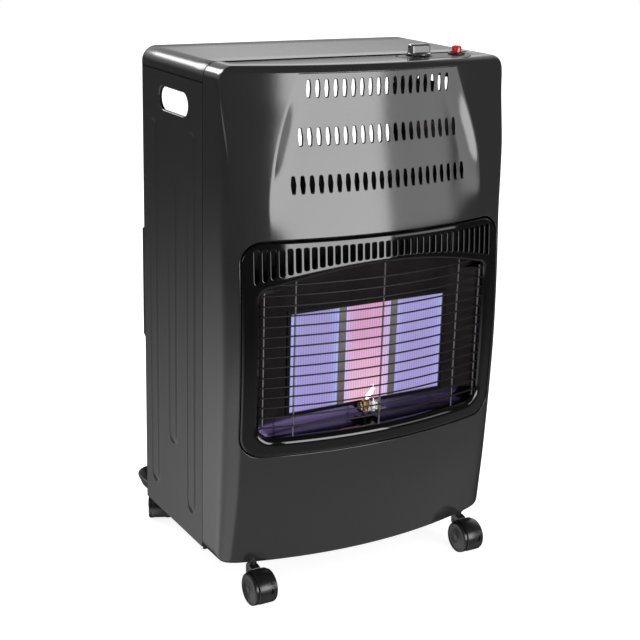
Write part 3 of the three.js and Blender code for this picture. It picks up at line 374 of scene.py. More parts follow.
class Wiring:
    """One material's or world's nodes: adds them, sets what they are fed, and links them."""

    def __init__(self, owner):
        owner.use_nodes, self.owner = True, owner
        self.nodes, self.links = owner.node_tree.nodes, owner.node_tree.links
        self.shader = self.nodes.get("Principled BSDF")

    def feed(self, node, inputs):
        """Gives each named socket its own value or another node's output."""
        for name, value in inputs.items():
            if isinstance(value, bpy.types.NodeSocket):
                self.links.new(value, node.inputs[name])
            else:
                node.inputs[name].default_value = value

    def add(self, kind, inputs=None, output=0, **settings):
        """A new node's output."""
        node = self.nodes.new(f"ShaderNode{kind}")
        for name, value in settings.items():
            setattr(node, name, value)
        self.feed(node, inputs or {})
        return node.outputs[output]

    def maths(self, operation, *values, clamp=False):
        return self.add("Math", dict(enumerate(values)), operation=operation, use_clamp=clamp)

    def chain(self, operation, *values):
        """One operation over several values, each result fed on to the next."""
        result = values[0]
        for value in values[1:]:
            result = self.maths(operation, result, value)
        return result

    def blend(self, factor, a, b):
        """Colour a where the factor is 0, and b where it is 1."""
        a, b = [(*color, 1) if isinstance(color, tuple) else color for color in (a, b)]
        return self.add("Mix", {"Factor": factor, "A": a, "B": b}, "Result", data_type="RGBA")

    def noise(self, place, scale, detail=2):
        return self.add("TexNoise", {"Vector": place, "Scale": scale, "Detail": detail}, "Fac")

    def place(self):
        """A point's place on its object."""
        return self.add("TexCoord", output="Object")

    def parts(self, vector):
        """A vector's X, Y and Z."""
        return self.add("SeparateXYZ", {"Vector": vector}).node.outputs


def finish(name, color, roughness, metallic=0.0, coat=0.0, mottle=0.15, mottle_scale=9.0,
           grain=0.0, grain_scale=1500, stretch=(1, 1, 1), specular=0.5):
    """A maker's finish: slow mottling in its tone and gloss, and a fine grain in its surface."""
    wiring = Wiring(bpy.data.materials.new(name))
    place = wiring.add("Mapping", {"Vector": wiring.place(), "Scale": stretch})
    clouds = wiring.noise(place, mottle_scale, 4)
    dark, pale = [tuple(min(1, c * k) for c in color) for k in (1 - mottle, 1 + mottle)]
    gloss = wiring.add("MapRange", {"Value": clouds, "To Min": roughness * (1 - 0.5 * mottle),
                                    "To Max": roughness * (1 + 0.5 * mottle)}, "Result")
    wiring.feed(wiring.shader, {
        "Metallic": metallic, "Coat Weight": coat, "Coat Roughness": 0.05,
        "Specular IOR Level": specular, "Roughness": gloss,
        "Base Color": wiring.blend(clouds, dark, pale)})
    if grain:
        bump = wiring.add("Bump", {"Strength": grain, "Distance": 0.0004,
                                   "Height": wiring.noise(place, grain_scale)})
        wiring.feed(wiring.shader, {"Normal": bump})
    return wiring.owner


def plaque_glow(name, middle_color, edge_color, foot_color, low, high):
    """A lit ceramic plaque: rows of fine flame ports, a paler edge and a warmer foot.

    Ports: the sum of two sine waves, one port every 3.7 by 2.4 mm. The foot's colour fades out
    between the heights of 252 and 342 mm."""
    wiring = Wiring(bpy.data.materials.new(name))
    maths, place = wiring.maths, wiring.place()
    x, _, z = wiring.parts(place)
    wave_x = maths("SINE", maths("MULTIPLY", x, 2 * math.pi / 0.0037))
    wave_z = maths("SINE", maths("MULTIPLY", z, 2 * math.pi / 0.0024))
    ports = maths("ADD", maths("MULTIPLY", wave_x, 0.2), maths("MULTIPLY", wave_z, 0.12))
    from_middle = maths("ABSOLUTE", maths("SUBTRACT", x, (high.x + low.x) / 2))
    edge = maths("POWER", maths("DIVIDE", from_middle, (high.x - low.x) / 2, clamp=True), 5.0)
    above_foot = maths("DIVIDE", maths("SUBTRACT", z, 0.252), 0.09, clamp=True)
    color = wiring.blend(maths("SUBTRACT", 1.0, above_foot), middle_color, foot_color)
    clouds = maths("MULTIPLY", wiring.noise(place, 26), 0.22)
    level = maths("ADD", 0.86, maths("ADD", ports, clouds))
    lit = wiring.add("VectorMath", {0: wiring.blend(edge, color, edge_color), "Scale": level},
                     operation="SCALE")
    wiring.feed(wiring.shader, {
        "Roughness": 0.8, "Specular IOR Level": 0.2, "Emission Color": lit,
        "Emission Strength": 0.9, "Base Color": (0.12, 0.1, 0.14, 1)})
    return wiring.owner


def flame_light(name, color, strength):
    """Burning gas: light of its own, brightest in soft streaks that rise with the flame."""
    wiring = Wiring(bpy.data.materials.new(name))
    streaks = wiring.add("MapRange", {"Value": wiring.noise(wiring.place(), 120), "To Min": 0.6,
                                      "To Max": 1.0}, "Result")
    lit = wiring.add("VectorMath", {0: color, "Scale": streaks}, operation="SCALE")
    wiring.feed(wiring.shader, {"Emission Color": lit, "Emission Strength": strength,
                                "Base Color": (0.02, 0.02, 0.03, 1)})
    return wiring.owner


def painted_shade_outside(material, low, high):
    """Paints shade on a finish: near black wherever a point lies outside a box's x and z range."""
    wiring = Wiring(material)
    x, _, z = wiring.parts(wiring.place())
    inside = wiring.chain("MULTIPLY", *[
        wiring.maths(operation, value, limit) for value, operation, limit in (
            (x, "GREATER_THAN", low.x), (x, "LESS_THAN", high.x),
            (z, "GREATER_THAN", low.z), (z, "LESS_THAN", high.z))])
    unshaded_color = wiring.shader.inputs["Base Color"].links[0].from_socket
    wiring.feed(wiring.shader, {
        "Base Color": wiring.blend(inside, (0.004, 0.0035, 0.0035), unshaded_color)})


def painted_reflection_below(material, height, color):
    """Below a height the finish turns metallic and takes the given colour; the metal reflects for
    real, and its colour is a painted reflection of the plaques' glow.
    """
    wiring = Wiring(material)
    below = wiring.maths("LESS_THAN", wiring.parts(wiring.place())["Z"], height)
    plain = wiring.shader.inputs["Base Color"].links[0].from_socket
    wiring.feed(wiring.shader, {"Base Color": wiring.blend(below, plain, color),
                                "Metallic": below})


def dress(node, material):
    """Gives a carried-over CAD node its finish."""
    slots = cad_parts[node].data.materials
    slots.clear()
    slots.append(material)


satin_anthracite = finish("satin_anthracite_paint", (0.012, 0.012, 0.0123), 0.135, mottle=0.06,
                          grain=0.05, grain_scale=1300, specular=0.62)
satin_panel = finish("satin_anthracite_side_paint", (0.012, 0.0117, 0.0123), 0.22, mottle=0.08,
                     grain=0.06, grain_scale=1300, specular=0.62)
gloss_black = finish("gloss_black_enamel", (0.0016, 0.0016, 0.0016), 0.07, coat=0.25, mottle=0.1,
                     grain=0.012, grain_scale=300, specular=0.42)
# Matte near black for strips set into the gaps: painted shade where the gaps look dark.
gap_shade_black = finish("painted_gap_shade", (0.002, 0.002, 0.002), 0.9, mottle=0.1, specular=0.05)
smoked_steel = finish("heat_darkened_steel", (0.006, 0.005, 0.0055), 0.16, mottle=0.4,
                      mottle_scale=22, grain=0.03, grain_scale=500, specular=0.28)
# Partition, plenum and valve painted near black: painted shade of the cabinet's dark inside.
shaded_inner_sheet = finish("inner_sheet_painted_shade", (0.012, 0.0115, 0.011), 0.6, 0.4, mottle=0.3,
                      mottle_scale=30, grain=0.06, grain_scale=700, specular=0.3)
# Pipes, leads and the brass hose nozzle painted dark copper: painted shade of the cabinet's inside.
shaded_pipe = finish("pipe_painted_shade", (0.045, 0.03, 0.024), 0.5, 0.8, mottle=0.3,
                     mottle_scale=50, grain=0.05, grain_scale=900)
guard_wire = finish("guard_wire", (0.007, 0.0055, 0.005), 0.4, 0.1, mottle=0.25,
                    mottle_scale=60, grain=0.05, specular=0.22)
guard_bright = finish("bright_guard_upright", (0.3, 0.29, 0.28), 0.3, 1.0, mottle=0.2,
                      mottle_scale=60, grain=0.05)
clamp_steel = finish("plaque_clamp_steel", (0.16, 0.14, 0.13), 0.38, 0.8, mottle=0.3,
                     mottle_scale=45, grain=0.06, grain_scale=700)
bright_steel = finish("bright_steel", (0.55, 0.55, 0.56), 0.24, 1.0, mottle=0.12, mottle_scale=80,
                      grain=0.04, grain_scale=1800, stretch=(1, 1, 6))
turned_brass = finish("turned_brass", (0.62, 0.4, 0.14), 0.26, 1.0, mottle=0.15, mottle_scale=70,
                      grain=0.05, grain_scale=1600)
glazed_ceramic = finish("glazed_ceramic", (0.75, 0.73, 0.68), 0.25, coat=0.4, mottle=0.06,
                        grain=0.03, grain_scale=600)
moulded_black = finish("moulded_black_plastic", (0.014, 0.014, 0.015), 0.42, mottle=0.15,
                       grain=0.12)
caster_black = finish("caster_nylon", (0.004, 0.004, 0.0042), 0.3, mottle=0.2, mottle_scale=60,
                      grain=0.08, grain_scale=1100, specular=0.6)
knob_gloss = finish("knob_satin_plastic", (0.03, 0.03, 0.031), 0.13, coat=0.9, mottle=0.08,
                    grain=0.006, specular=1.0)
red_plastic = finish("red_button_plastic", (0.42, 0.004, 0.008), 0.22, coat=0.4, mottle=0.1,
                     grain=0.03, grain_scale=900)
lead_rubber = finish("insulated_lead", (0.012, 0.012, 0.012), 0.55, grain=0.1, grain_scale=900)

# The clamp frame beyond the plaques gets painted shade; between them it keeps its own tone.
painted_shade_outside(clamp_steel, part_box("plaque_left")[0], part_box("plaque_right")[1])
# Under the plaques the reflector turns metallic; its blue-violet colour is painted reflection of
# the plaques' glow.
painted_reflection_below(smoked_steel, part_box("plaque_left")[0].z - 0.004, (0.10, 0.075, 0.18))

for material, nodes in (
        (shaded_inner_sheet, ["partition", "plenum", "gas_valve"]),
        (smoked_steel, ["reflector"]),
        (clamp_steel, ["plaque_clamp_frame"]),
        (turned_brass, ["injector_left", "injector_centre", "injector_right", "pilot_burner"]),
        (shaded_pipe, ["burner_pipe_centre", "burner_pipe_right", "pilot_pipe",
                       "thermocouple_lead", "hose_nozzle"]),
        (bright_steel, ["pilot_bracket", "thermocouple", "valve_spring_cup", "valve_spindle",
                        *[f"caster_{part}_{corner}" for part in ("stem", "axle")
                          for corner in CASTERS]]),
        (glazed_ceramic, ["spark_electrode"]),
        (lead_rubber, ["ignition_lead"]),
        (moulded_black, ["piezo_igniter"])):
    for node in nodes:
        dress(node, material)

for node, colors in {
    "plaque_left": ((0.165, 0.155, 0.44), (0.27, 0.35, 0.78), (0.19, 0.16, 0.48)),
    "plaque_centre": ((0.53, 0.205, 0.38), (0.40, 0.40, 0.80), (0.78, 0.41, 0.53)),
    "plaque_right": ((0.18, 0.165, 0.45), (0.25, 0.29, 0.68), (0.21, 0.18, 0.48)),
}.items():
    dress(node, plaque_glow(f"{node}_glow", *colors, *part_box(node)))


# ---- Cabinet ----

def scoop_depth(x, z):
    """How far the scoop's floor lies behind the front: it sinks from its outline in a parabola
    one ramp wide, is shallower towards its top, and fades out at its foot, where the ramp
    widens. The outline's crease is rounded by taking (d + sqrt(d^2 + 4 c^2)) / 2 for the
    distance d inside it."""
    away = along(SCOOP_EDGE, np.clip(z, SCOOP_END, SCOOP_TOP)) - np.abs(x)
    away = (away + np.sqrt(away**2 + 4 * SCOOP_CREASE**2)) / 2 - SCOOP_CREASE**2 / 16
    ramp = SCOOP_LOW_RAMP + (SCOOP_RAMP - SCOOP_LOW_RAMP) * smooth(
        (z - SCOOP_END) / SCOOP_RAMP_RISE)
    inside = np.clip(away / ramp, 0, 1)
    deep = SCOOP_DEPTH + (SCOOP_TOP_DEPTH - SCOOP_DEPTH) * smooth(
        (z - SCOOP_SHALLOWS) / (SCOOP_TOP - SCOOP_SHALLOWS))
    top = smooth((SCOOP_TOP - z) / 1.2)
    foot = smooth((z - SCOOP_END) / (SCOOP_FULL - SCOOP_END))
    return deep * (1 - (1 - inside) ** 2) * top * foot


def scooped_y(x, z):
    """The front with its scoop."""
    return front_y(x, z) + scoop_depth(x, z)


def bowed_rings(z, side_inset, front_inset, back):
    """The cabinet in plan at each height: side line, bent corner, bowed front, and the same back.

    The corner is a quadratic bend whose two ends lie on the side and on the front. The front's
    columns keep to the scoop's outline, closest together where it turns in."""
    centre = along(CENTRE_PROFILE, share(z)) + front_inset
    half = WIDTH / 2 - side_inset
    reach = half - along(CORNER_REACH, share(z))

    def face(x):
        return centre + x * x / (2 * FRONT_BOW)

    tangent = face(reach) + reach / FRONT_BOW * (half - reach)
    start = np.maximum(along(CORNER_PROFILE, share(z)), tangent + 0.6)
    t = np.linspace(0, 1, 12)[1:, None]
    side_y = back + (start - back) * np.linspace(0, 1, 6)[:, None]
    side_x = np.broadcast_to(half, side_y.shape)
    bend_x, bend_y = bend(half, half, reach, t), bend(start, tangent, face(reach), t)
    edge = along(SCOOP_EDGE, np.clip(z, SCOOP_END, SCOOP_TOP))
    marks = [reach, edge + 3.5, edge - 4.5, edge - SCOOP_RAMP, 0 * edge]
    front_x = np.concatenate([
        a + (b - a) * np.linspace(0, 1, count + 1)[1:, None]
        for a, b, count in zip(marks[:-1], marks[1:], (8, 17, 12, 18))])
    right_x = np.concatenate([side_x, bend_x, front_x])
    right_y = np.concatenate([side_y, bend_y, face(front_x)])
    x = np.concatenate([-right_x, right_x[::-1][1:]])
    y = np.concatenate([right_y, right_y[::-1][1:]])
    return joined(x, y, z)


def front_shape():
    """Rings from the foot's turned-in lip, up the bowed front and over the rounded top edge; the
    top face runs from the last ring's front back to the joint, where it lies a little low."""
    back = -SEAM / 2
    brow_start, foot_end = HEIGHT - TOP_RADIUS, BODY_BOTTOM + FOOT_RADIUS
    scoop_rim = SCOOP_TOP - np.array([1.4, 1.2, 0.95, 0.7, 0.45, 0.2, 0, -0.2])
    z = np.concatenate([
        np.full(3, BODY_BOTTOM), BODY_BOTTOM + FOOT_RADIUS * (1 - np.cos(quarter(9))),
        np.arange(foot_end + 4, brow_start - 1, 3.7),
        np.sort(np.concatenate([brow_start + TOP_RADIUS * np.sin(quarter(17)), scoop_rim])),
    ])
    side = turned_in(TOP_RADIUS, z - brow_start) + turned_in(FOOT_RADIUS, foot_end - z)
    front = (turned_in(LIP_RADIUS, z - (HEIGHT - LIP_RADIUS))
             + turned_in(FOOT_LIP_RADIUS, BODY_BOTTOM + FOOT_LIP_RADIUS - z))
    lip = FOOT_LIP * np.linspace(1, 0, 4)[:-1]
    side[:3] += lip
    front[:3] += lip
    rings = bowed_rings(z, side, front, back)
    inner = (np.abs(rings[..., 0]) < 175) & (rings[..., 2] > SCOOP_END)
    rings[..., 1] += np.where(inner, scoop_depth(rings[..., 0], rings[..., 2]), 0)
    t = np.linspace(0, 1, 6)
    edge = rings[5:-5, -1:, :]
    top = np.repeat(edge, len(t), axis=1)
    top[..., 1] = edge[..., 1] * (1 - t) + back * t
    top[..., 2] -= JOINT_DROP * t**3 * smooth((JOINT_DROP_REACH - np.abs(top[..., 0])) / 8)
    return together(net(rings), net(top))


def slot_outline(x, z, width, high, taper=SLOT_TAPER, steps=15):
    """An upright slot: its half width is greatest at mid height, falls evenly by the taper towards
    the ends, and closes there in a round end."""
    t = np.cos(np.linspace(0, np.pi, steps))
    half = width / 2 * (1 - taper * np.abs(t)) * np.sqrt(np.maximum(1 - t**24, 0.12))
    right = joined(half, t * high / 2)[::-1]
    return np.concatenate([right, -right]) + [x, z]


def rolled_edge(inner, outward, roll, surface, deep, past, behind=None):
    """A hole's rolled-in edge: a quarter turn from the face into the hole, straight back by deep,
    and round behind to just past where it began."""
    rows = []
    for angle in quarter(6):
        flat = inner + outward * (1 - np.sin(angle))
        rows.append(upright(flat, surface(*flat.T) + roll * (1 - np.cos(angle)) - 0.03))
    for share_out in (0.0, past):
        flat = inner + outward * share_out
        rows.append(upright(flat, (behind or surface)(*flat.T) + roll + deep))
    return carried(rows, round_v=True, flip=True)


def slot_edge(x, z, width, high, taper, roll, surface):
    """A slot's rolled edge."""
    inner = slot_outline(x, z, width, high, taper)
    outward = roll * (slot_outline(x, z, width + 2, high + 2, taper) - inner)
    return rolled_edge(inner, outward, roll, surface, 1.3, (roll + 0.2) / roll)


def surround_outline(grow, groove=0.0, top_groove=0.0):
    """The surround's outline moved outwards by grow, and by a groove, wider along the top."""
    side, high = groove + grow, SURROUND.high + top_groove + grow
    radius = SURROUND.radius + grow
    return frame_outline(SURROUND.half + side, SURROUND.low - side, high, high, radius,
                         radius)


def opening_outline(grow):
    """The front's opening round the surround, moved outwards by grow."""
    return surround_outline(grow, SURROUND.groove, SURROUND.top_groove)


def plate_outline(grow, steps=40):
    """The control plate's outline in plan, longer and wider by grow."""
    return stadium(PLATE.x, PLATE.y, PLATE.length + grow, PLATE.high + grow, steps)


slot_places = [((i - (count - 1) / 2) * SLOT_PITCH, z) for z, count in SLOT_ROWS
               for i in range(count)]
slot_cuts = together(*[prism(slot_outline(x, z, SLOT_WIDTH, SLOT_HEIGHT), "y", *THROUGH_FRONT)
                       for x, z in slot_places])
piece("bowed_front", front_shape(), satin_anthracite, ["front_fascia"],
      wall=FRONT_WALL,
      cuts=[prism(opening_outline(OPENING_ROLL - 0.1), "y", -200, -20), slot_cuts,
            prism(plate_outline(3.2, 24), "z", HEIGHT - 10, HEIGHT + 10)])
piece("slot_edges", together(*[
    slot_edge(x, z, SLOT_WIDTH - 2 * SLOT_ROLL, SLOT_HEIGHT - 2 * SLOT_ROLL, SLOT_TAPER,
              SLOT_ROLL + 0.1, scooped_y) for x, z in slot_places]),
    gloss_black, crease=50)
opening = opening_outline(0)
piece("opening_edge", rolled_edge(opening, opening_outline(OPENING_ROLL) - opening, OPENING_ROLL,
                                  scooped_y, 1.6, 1.15, front_y),
      satin_anthracite, crease=50)


def top_arch(deep, foot):
    """The top's section, deep inside its face, from the left foot up, over and down again."""
    half, radius, turn = WIDTH / 2 - deep, TOP_RADIUS - deep, quarter(14)
    left = joined(-half + radius * (1 - np.cos(turn)), HEIGHT - TOP_RADIUS + radius * np.sin(turn))
    return np.concatenate([[[-half, foot]], left, left[::-1] * [-1, 1], [[half, foot]]])


def top_shape():
    """The cover's section, a flat top with rounded long edges and two skirts, carried from the
    joint to the rear, where it turns down in a flat end wall."""
    low, turn = HEIGHT - TOP_SKIRT + SEAM / 2, quarter(14)
    section = top_arch(0, low)
    out = joined(-np.cos(turn), np.sin(turn))
    normal = np.concatenate([[[-1, 0]], out, out[::-1] * [-1, 1], [[1, 0]]])
    y = np.array([SEAM / 2, 1.0, 1.3, 1.7, 30, 90, 150, 185.6, 186.4, 186.8, 187.0])
    inset = np.array([0.7, 0.35, 0.1, 0, 0, 0, 0, 0, 0.2, 0.7, 1.4])
    flat = section[:, None, :] - normal[:, None, :] * inset[None, :, None]
    sheet = joined(flat[..., 0], y, flat[..., 1])
    upper = sheet[1:-1, -1]
    lower = upper * [1, 1, 0] + [0, 0, low]
    return together(net(sheet), net(np.stack([upper, lower], axis=1)))

piece("top_cover_sheet", top_shape(), satin_panel, ["top_cover"], wall=PANEL_WALL)


def rib_height(y, z):
    """Pressed ribs: full rise within the crown, falling smoothly over the shoulder, measured
    from each rib's upright spine."""
    rise = np.zeros(np.broadcast(y, z).shape)
    for centre, low, high in RIBS:
        spine = np.clip(z, low + RIB_WIDTH / 2, high - RIB_WIDTH / 2)
        away = np.hypot(y - centre, z - spine)
        rise = np.maximum(rise, RIB_RISE * smooth((RIB_WIDTH / 2 - away) / RIB_SHOULDER))
    return rise


def side_shape():
    """The right-hand panel in plan (front flange, face, rear flange) carried up the height; its
    face stands out by the ribs."""
    outside, low, high = WIDTH / 2, BODY_BOTTOM + 0.9, HEIGHT - TOP_SKIRT - SEAM / 2
    front, rear, bend, fold = SEAM / 2, SIDE_DEPTH, 1.8, 0.7
    face_y = np.append(np.arange(front + fold, rear - bend - 0.7, 1.25), rear - bend)
    plan = np.concatenate([
        [[outside - 14, front], [outside - 6, front]],
        rounded_corner((outside - fold, front), (outside, front), (outside, front + fold)),
        joined(outside, face_y)[1:-1],
        rounded_corner((outside, rear - bend), (outside, rear), (outside - bend, rear)),
        [[outside - 8, rear], [outside - 20, rear]],
    ])
    z = np.arange(low, high + 0.1, 2.9)
    z[-1] = high
    x, y = plan[:, :1], plan[:, 1:]
    return net(joined(x + rib_height(y, z) * (x > outside - 0.01), y, z))


def seam_shade_strips():
    """Matte black strips just under the joints, painted shade that keeps the gaps dark: an arch
    under the joint of the front with the sides and the top, and one strip under the lower edge of
    each of the top's skirts."""
    deep = 0.35
    half, low, high = WIDTH / 2 - deep, HEIGHT - TOP_SKIRT - 2.6, HEIGHT - TOP_SKIRT + 2.6
    arch = top_arch(deep, 61)
    strip = net(np.array([[(half, y, z) for y in (1, 186)] for z in (high, low)]))
    return together(net(np.stack([upright(arch, y) for y in (-0.3, 2.8)], axis=1)), strip,
                    mirrored(strip))


piece("seam_shade_strips", seam_shade_strips(), gap_shade_black, wall=1.3)


def hand_outline(grow):
    """The hand hole's outline, longer and wider by grow."""
    return stadium(HAND_HOLE.y, HAND_HOLE.z, HAND_HOLE.length + grow, HAND_HOLE.high + grow)


def hand_collar():
    """The hand hole's rolled edge: a quarter turn from the panel's face, then straight inwards."""
    outside, roll, deep = WIDTH / 2, 2.2, 4.6
    turn = quarter(6)
    grow = np.concatenate([roll * (1 - np.sin(turn)), [0], [1.4], [1.4], [roll + 0.2]])
    inward = np.concatenate([roll * (1 - np.cos(turn)), [deep], [deep], [roll + 1.4], [1.2]])
    return carried([joined(outside - x, *hand_outline(2 * g).T) for g, x in zip(grow, inward)],
                   round_v=True)


hand_cut = prism(hand_outline(4.0), "x", 180, 230)
side_sheet, collar = side_shape(), hand_collar()
for hand, turn_over in (("right", lambda shape: shape), ("left", mirrored)):
    piece(f"side_sheet_{hand}", turn_over(side_sheet), satin_panel,
          [f"side_panel_{hand}"], wall=PANEL_WALL, cuts=[turn_over(hand_cut)])
    piece(f"hand_hole_edge_{hand}", turn_over(collar), satin_panel)


def rear_cover_shape():
    """A sheet seen from behind: a flat rim, and a dome that rises quickly from its edge and then
    gently. Each side's distance becomes a level from 0 to 3, and the least of them, softened
    where two meet, sets the height. A side band stands out beside it."""
    front = SIDE_DEPTH + 1.5
    edge = COVER.half - np.array([0.3, 0.6, 0.9, 1.2, 1.6, 2.1])
    x = np.sort(np.concatenate([np.linspace(-COVER.half, COVER.half, 150), edge, -edge]))
    x = x[::-1, None]
    z = np.linspace(COVER.low, COVER.high, 160)[None, :]
    levels = np.arange(4)
    side = np.interp(188 - np.abs(x), [0, 5, 21, 56], levels)
    foot = np.interp(z - 84, [0, 5, 16, 36], levels)
    head = np.interp(512 - z, [0, 12, 28, 52], levels)
    sharp = 5.0
    level = -np.log(np.exp(-sharp * side) + np.exp(-sharp * foot) + np.exp(-sharp * head)) / sharp
    level = np.clip(level, 0, 3)
    dome = along([[0, 0], [1, 18], [2, 45], [2.6, 55.5], [3, 57]], level)
    band = 16.5 * smooth(np.minimum(np.minimum((205.7 - np.abs(x)) / 1.4, (z - 288) / 6),
                                    (454 - z) / 6))
    y = front + np.maximum(dome, band)
    return net(joined(x, y, z))


vent_cuts = together(*[
    prism(slot_outline(side * x, z, 9, 20, taper=0.1), "y", 180, 300)
    for side in (-1, 1) for x in (70, 100, 130) for z in (COVER.low + 24, COVER.high - 34)
])
piece("rear_cover_sheet", rear_cover_shape(), satin_panel, ["rear_cover"], "rear_cover",
      wall=1.2, cuts=[vent_cuts])


def tray_outline(inset):
    """The tray in plan: straight sides, bowed front under the cabinet, rounded rear corners."""
    half = WIDTH / 2 - 2.8 - inset
    x = np.linspace(-1, 1, 60) * (half - 8)
    front = joined(x, front_y(x, BODY_BOTTOM) + 2.8 + inset)
    radius, rear = TRAY_RADIUS - inset, TRAY_REAR - inset
    turn = quarter(16)
    right = joined(half - radius + radius * np.cos(turn), rear - radius + radius * np.sin(turn))
    edge = joined(half, np.linspace(-45, rear - radius, 22)[1:-1])
    return np.concatenate([front, [[half, -45]], edge, right, right[::-1] * [-1, 1],
                           edge[::-1] * [-1, 1], [[-half, -45]]])

def tray_shape():
    """Inner floor, wall, rounded rim, outer wall and turned-in foot, carried round the outline.
    Under the cabinet's front the foot stops above the front's own lip."""
    profile = [(16, TRAY_FLOOR), (12, TRAY_FLOOR), (9.4, TRAY_FLOOR + 0.6), (8, TRAY_FLOOR + 2),
               (TRAY_WALL, TRAY_HIGH - 1.2), (1.9, TRAY_HIGH - 0.3), (1.25, TRAY_HIGH),
               (0.6, TRAY_HIGH - 0.3), (0, TRAY_HIGH - 1.2), (0.2, TRAY_HIGH - 3),
               (5.6, BODY_BOTTOM + 2), (6.2, BODY_BOTTOM + 0.7), (7.3, BODY_BOTTOM),
               (8.6, BODY_BOTTOM), (8.6, BODY_BOTTOM + 3), (16, BODY_BOTTOM + 3)]
    grid = np.stack([lying(tray_outline(inset), z) for inset, z in profile], axis=1)
    under_front = grid[..., 1] < 8
    grid[..., 2] = np.where(under_front, np.maximum(grid[..., 2], BODY_BOTTOM + 3), grid[..., 2])
    return net(grid, round_u=True, close_start=True, close_end=True, flip=True)


bosses = [turned([[0, BODY_BOTTOM + 0.3], [7.4, BODY_BOTTOM + 0.3], [8.4, BODY_BOTTOM + 1.3],
                  [8.5, 64], [7.5, 65], [0, 65]], (x, y, 0), 32)
          for x, y, _ in CASTERS.values()]
lugs = [prism(np.array([(side * 207.1, 0.9), (side * 196.2, 0.9), (side * 196.2, 3.9),
                        (side * 207.1, 3.9)]), "z", BODY_BOTTOM - 4, TRAY_FLOOR)
        for side in (-1, 1)]
piece("base_tray_pan", together(tray_shape(), *bosses, *lugs), moulded_black,
      ["base_tray"])


# ---- Burner surround, guard and plaques ----

def surround_shape():
    """Rows of one closed outline: back of the reveal, forward along it, round the rolled lip,
    out over the bowed face, round the outer edge and back. The lip is smaller along the top,
    where the grille leaves it little room."""
    base = window_outline(0)
    rows = [upright(base, y) for y in (WINDOW_BACK, -72.0, -80.0)]
    lip = WINDOW_LIP + (WINDOW_TOP_LIP - WINDOW_LIP) * smooth(
        (base[:, 1] - LIP_NARROWS) / LIP_NARROWING)
    outward = window_outline(1) - base
    for angle in quarter(9):
        flat = base + outward * (lip * (1 - np.cos(angle)))[:, None]
        rows.append(upright(flat, front_y(*flat.T) + lip * (1 - np.sin(angle))))
    inner, outer = base + outward * lip[:, None], surround_outline(-SURROUND_ROLL)
    for t in np.linspace(0, 1, 9)[1:]:
        flat = (1 - t) * inner + t * outer
        rows.append(upright(flat, front_y(*flat.T)))
    rim = surround_outline(0)
    for angle in quarter(5)[1:]:
        flat = outer + (rim - outer) * np.sin(angle)
        rows.append(upright(flat, front_y(*flat.T) + SURROUND_ROLL * (1 - np.cos(angle))))
    rows.append(rows[-1] + [0, SURROUND_ROLL, 0])
    return carried(rows, flip=True)


grille_slots = []
half_count = (GRILLE.count - 1) / 2
for i in range(GRILLE.count):
    bottom = GRILLE.crown - GRILLE.drop * abs(i / half_count - 1) ** 2.3
    grille_slots.append(((i - half_count) * GRILLE.pitch, (GRILLE.top + bottom) / 2,
                         GRILLE.top - bottom))

grille_grow = 2 * GRILLE.roll - 0.2
grille_cuts = together(*[
    prism(slot_outline(x, z, GRILLE.width + grille_grow, high + grille_grow, taper=0.0), "y",
          *THROUGH_FRONT) for x, z, high in grille_slots])
piece("gloss_surround", surround_shape(), gloss_black, ["burner_surround"],
      wall=1.6, cuts=[grille_cuts])
piece("grille_edges", together(*[
    slot_edge(x, z, GRILLE.width, high, 0.0, GRILLE.roll, front_y)
    for x, z, high in grille_slots]), gloss_black, crease=50)


def guard_y(x):
    return GUARD_CENTRE + x * x / (2 * FRONT_BOW)


def guard_line(z):
    """One bowed wire whose ends run out to the surround's side."""
    fall = (WINDOW.crown - 1.2 - WIRE_RADIUS - z) / (WINDOW.crown - WINDOW.shoulder)
    reach = min(WINDOW.half - WIRE_RADIUS - 0.3, WINDOW.half * math.sqrt(max(fall, 0)))
    x = np.linspace(-reach, reach, 61)
    return joined(x, guard_y(x), z)


def guard_hook(z, side):
    """The short return at a wire's end: behind the end upright and a little downwards."""
    end = WINDOW.half - 3.0
    t = np.linspace(0, 1, 8)
    y = guard_y(end) + 1.0 + 6.5 * t
    return joined(side * (end - 3.2 * np.sin(np.pi * t) - 0.1), y, z - 4.6 * t)


def guard_upright(x, low, high):
    """One upright, welded on behind the cross wires."""
    z = np.linspace(low, high, 12)
    y = guard_y(x) + 2 * WIRE_RADIUS - 0.5
    return tube(joined(x, y, z), WIRE_RADIUS, 10)


wire_heights = np.linspace(GUARD_LOW, GUARD_HIGH, GUARD_WIRES)
guard_cross = together(*[tube(guard_line(z), WIRE_RADIUS, 8) for z in wire_heights],
                       *[tube(guard_hook(z, side), 0.8, 6) for z in wire_heights[:-2]
                         for side in (-1, 1)])
window_rise = WINDOW.crown - WINDOW.shoulder
posts = [guard_upright(x, WINDOW.low + 0.3,
                       WINDOW.crown - window_rise * (x / WINDOW.half) ** 2 - 1.2)
         for x in GUARD_UPRIGHTS]
posts += [guard_upright(side * (WINDOW.half - 5.4), WINDOW.low + 6, wire_heights[-2] + 4)
          for side in (-1, 1)]
piece("guard_cross_wires", guard_cross, guard_wire, ["wire_guard"])
piece("guard_uprights", together(*posts), guard_bright)


# ---- Left burner's pipe ----

def pipe_route():
    """Down from the valve, across between the second and third rows of slots, where no slot
    shows it, and down to the left-hand injector; both bends are rounded."""
    low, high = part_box("burner_pipe_left")
    left, right = low.x / MM + PIPE.radius, high.x / MM - PIPE.radius
    y, across, bend = (low.y + high.y) / 2 / MM - SEAM_Y, PIPE.across, PIPE.bend
    return np.concatenate([
        [[right, y, high.z / MM]],
        rounded_corner((right, y, across + bend), (right, y, across), (right - bend, y, across), 8),
        rounded_corner((left + bend, y, across), (left, y, across), (left, y, across - bend), 8),
        [[left, y, low.z / MM]],
    ])


